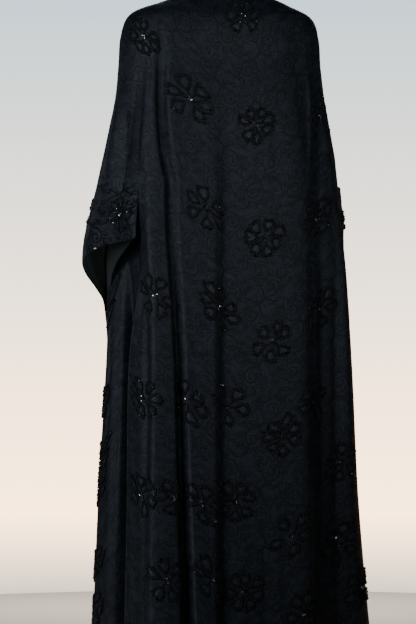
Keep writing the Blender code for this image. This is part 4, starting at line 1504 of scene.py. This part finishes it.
def sew_row(panel, grid, rows, places):
    """Sew stitches along a path given in rows and columns of a grid."""
    base = read_grid(points[grid], rows, places)
    out = unit(read_grid(normals[grid], rows, places))
    ran = run_along(base)
    for start in np.arange(STITCH_PITCH, ran[-1] - STITCH_PITCH, STITCH_PITCH):
        ends = []
        for at in (start, start + STITCH_LONG):
            place = [np.interp(at, ran, base[:, axis]) for axis in range(3)]
            lift = np.array([np.interp(at, ran, out[:, axis]) for axis in range(3)])
            ends.append(np.array(place) + lift * THREAD_LIFT)
        beside = np.cross(ends[1] - ends[0], lift)
        beside *= THREAD_WIDE / 2 / np.linalg.norm(beside)
        kept_points, kept_faces = stitched[panel]
        first = len(kept_points)
        kept_points.extend((ends[0] - beside, ends[1] - beside, ends[1] + beside, ends[0] + beside))
        kept_faces.append((first, first + 3, first + 2, first + 1))


def rows_above_edge(grid, deep):
    """The row of each column that lies so far above the grid's last row."""
    rows = []
    for column in range(grid.shape[1]):
        ran = run_along(points[grid[::-1, column]])
        rows.append(grid.shape[0] - 1 - np.interp(deep, ran, np.arange(len(ran))))
    return np.array(rows)


for panel in PANELS:
    grid = spreads[panel][0]
    sew_row(panel, grid, rows_above_edge(grid, HEM_TURNED), np.arange(grid.shape[1], dtype=float))
for side in ("left", "right"):
    grid, loop = sleeve_grids[side], sleeve_loops[side]
    rows = rows_above_edge(grid, CUFF_DEEP)
    for panel, own in (
        ("back", (loop >= 2) & (loop <= 6)),
        ("front_" + side, loop <= 2),
        ("front_" + side, loop >= 6),
    ):
        chosen = np.flatnonzero(own)
        if len(chosen) > 1:
            sew_row(panel, grid, rows[chosen], chosen.astype(float))
for panel in ("front_left", "front_right"):
    grid = spreads[panel][0]
    places = []
    for row in range(grid.shape[0]):
        ran = run_along(points[grid[row] if panel == "front_left" else grid[row, ::-1]])
        place = np.interp(FACING_WIDE, ran, np.arange(len(ran)))
        places.append(place if panel == "front_left" else grid.shape[1] - 1 - place)
    sew_row(panel, grid, np.arange(grid.shape[0], dtype=float), np.array(places))

# Spun polyester thread: a plain dull black, a shade lighter than the satin round it
thread, thread_shader, _ = two_tones("spun_black_thread", "#0c0e10", "#1b1f22", 900.0)
thread_shader.inputs["Roughness"].default_value = 0.7
for panel, (kept_points, kept_faces) in stitched.items():
    made = place_mesh(panel + "_topstitching", kept_points, kept_faces, False)
    made.data.materials.append(thread)
    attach(made, "root")
    on_panel[panel].append(made)

# The studio
# A plain pale floor under the hem, and soft daylight from a window high on the left. A
# warm lamp low on the right lights the cloth's right edge.
FLOOR_Z_M = -1.474
FLOOR_RADIUS_M = 1.7
FLOOR_SIDES = 96
turns = np.arange(FLOOR_SIDES) * math.tau / FLOOR_SIDES
floor_mesh = bpy.data.meshes.new("floor")
floor_points = [(0.0, 0.0, FLOOR_Z_M)]
floor_points += [
    (FLOOR_RADIUS_M * math.cos(t), FLOOR_RADIUS_M * math.sin(t), FLOOR_Z_M) for t in turns
]
floor_faces = [(0, k + 1, (k + 1) % FLOOR_SIDES + 1) for k in range(FLOOR_SIDES)]
floor_mesh.from_pydata(floor_points, [], floor_faces)
floor = bpy.data.objects.new("floor", floor_mesh)
bpy.context.scene.collection.objects.link(floor)
# Matt painted board, a warm off-white with the faintest mottling
board = bpy.data.materials.new("matt_painted_board")
board.use_nodes = True
board_shader = board.node_tree.nodes["Principled BSDF"]
board_place = add_node(board, "ShaderNodeTexCoord", {}, {})[3]
board_mottle = add_node(
    board, "ShaderNodeTexNoise", {}, {"Vector": board_place, "Scale": 3.0, "Detail": 4.0}
)[0]
board_tone = add_node(
    board,
    "ShaderNodeMix",
    {"data_type": "RGBA"},
    {0: board_mottle, 6: linear("#d2cac0"), 7: linear("#ddd6cc")},
)[2]
board.node_tree.links.new(board_tone, board_shader.inputs["Base Color"])
board_shader.inputs["Roughness"].default_value = 0.8
floor.data.materials.append(board)

# The camera stands level behind the wearer, a little to the left of square on.
CAMERA_TURN = math.radians(20)
CAMERA_FAR_M = 6.0
VIEW_HIGH_M = 1.342
AIM_M = Vector((0.075, 0.079, -0.697))
towards = Vector((math.sin(CAMERA_TURN), math.cos(CAMERA_TURN), 0))
to_right = Vector((-math.cos(CAMERA_TURN), math.sin(CAMERA_TURN), 0))
camera_data = bpy.data.cameras.new("camera")
camera_data.sensor_width = 36
camera_data.lens = 36 * CAMERA_FAR_M / VIEW_HIGH_M
camera = bpy.data.objects.new("camera", camera_data)
bpy.context.scene.collection.objects.link(camera)
camera.location = AIM_M + towards * CAMERA_FAR_M
camera.rotation_euler = (-towards).to_track_quat("-Z", "Y").to_euler()
bpy.context.scene.camera = camera

# Soft lights: name, place right, towards the camera and up from the aim, size, spread of the
# beam in degrees, watts, colour, and the point it is turned to
SOFT_LIGHTS = (
    ("window", -2.1, 2.2, 0.6, 1.9, 62, 10.4, "#d4e0f0", (0.08, 0.08, -0.60)),
    ("fill", 1.4, 2.1, 0.6, 1.3, 44, 2.3, "#dde5f0", (-0.07, 0.08, -0.18)),
    ("front_fill", 0.0, -2.6, 0.9, 1.6, 50, 3.0, "#e4e9f0", (0.0, -0.1, -0.6)),
    ("cuff_bounce", 0.1, 2.6, -0.3, 0.06, 6, 0.03, "#dfe8e2", (0.285, -0.10, -0.62)),
    ("overhead", 0.1, 0.7, 2.3, 1.4, 60, 0.3, "#dce8f5", (0.0, 0.05, -0.1)),
    ("right_edge", 1.7, -1.5, -0.5, 0.7, 120, 1.2, "#ffd9ae", (0.08, 0.08, -0.7)),
    ("left_edge", -1.7, -1.6, 0.4, 0.7, 120, 1.0, "#dbe8f5", (0.08, 0.08, -0.4)),
)
# A wash over the floor beyond the cloak, seen by no camera
wash = bpy.data.lights.new("floor_wash", "AREA")
wash.shape = "RECTANGLE"
wash.size = 2.2
wash.size_y = 0.7
wash.energy = 22
wash.color = linear("#f2e9de")[:3]
washer = bpy.data.objects.new("floor_wash", wash)
bpy.context.scene.collection.objects.link(washer)
washer.location = AIM_M - towards * 1.35 + Vector((0, 0, -0.05))
washer.rotation_euler = (0, 0, math.atan2(to_right.y, to_right.x))
washer.visible_camera = False
for name, right, near, up, size, spread_deg, watts, colour, lit in SOFT_LIGHTS:
    lamp = bpy.data.lights.new(name, "AREA")
    lamp.size = size
    lamp.spread = math.radians(spread_deg)
    lamp.energy = watts
    lamp.color = linear(colour)[:3]
    holder = bpy.data.objects.new(name, lamp)
    bpy.context.scene.collection.objects.link(holder)
    holder.location = AIM_M + to_right * right + towards * near + Vector((0, 0, up))
    holder.rotation_euler = (Vector(lit) - holder.location).to_track_quat("-Z", "Y").to_euler()

# The wall behind shows as a soft band of tones over height, warm above the floor and cooler
# higher up. It is bright to the camera and gives the cloth next to no light.
WALL_SPREAD = 0.112
WALL_LIGHT, WALL_SEEN = 0.07, 7.0
world = bpy.data.worlds.new("studio")
world.use_nodes = True
bpy.context.scene.world = world
world_place = add_node(world, "ShaderNodeTexCoord", {}, {})[0]
world_parts = add_node(world, "ShaderNodeSeparateXYZ", {}, {0: world_place})
world_height = add_node(
    world,
    "ShaderNodeMapRange",
    {},
    {"Value": world_parts[2], "From Min": -WALL_SPREAD, "From Max": WALL_SPREAD},
)[0]
world_tones = world.node_tree.nodes.new("ShaderNodeValToRGB")
world.node_tree.links.new(world_height, world_tones.inputs[0])
WALL_TONES = (
    (0.04, "#716c67"),
    (0.10, "#a79582"),
    (0.18, "#f8cea1"),
    (0.55, "#aca195"),
    (0.80, "#858885"),
    (1.00, "#6c787e"),
)
while len(world_tones.color_ramp.elements) < len(WALL_TONES):
    world_tones.color_ramp.elements.new(0.5)
for element, (place, colour) in zip(world_tones.color_ramp.elements, WALL_TONES):
    element.position = place
    element.color = linear(colour)
light_path = add_node(world, "ShaderNodeLightPath", {}, {})
seen = add_node(
    world,
    "ShaderNodeMapRange",
    {},
    {"Value": light_path[0], "To Min": WALL_LIGHT, "To Max": WALL_SEEN},
)[0]
world_shader = world.node_tree.nodes["Background"]
world.node_tree.links.new(world_tones.outputs[0], world_shader.inputs["Color"])
world.node_tree.links.new(seen, world_shader.inputs["Strength"])
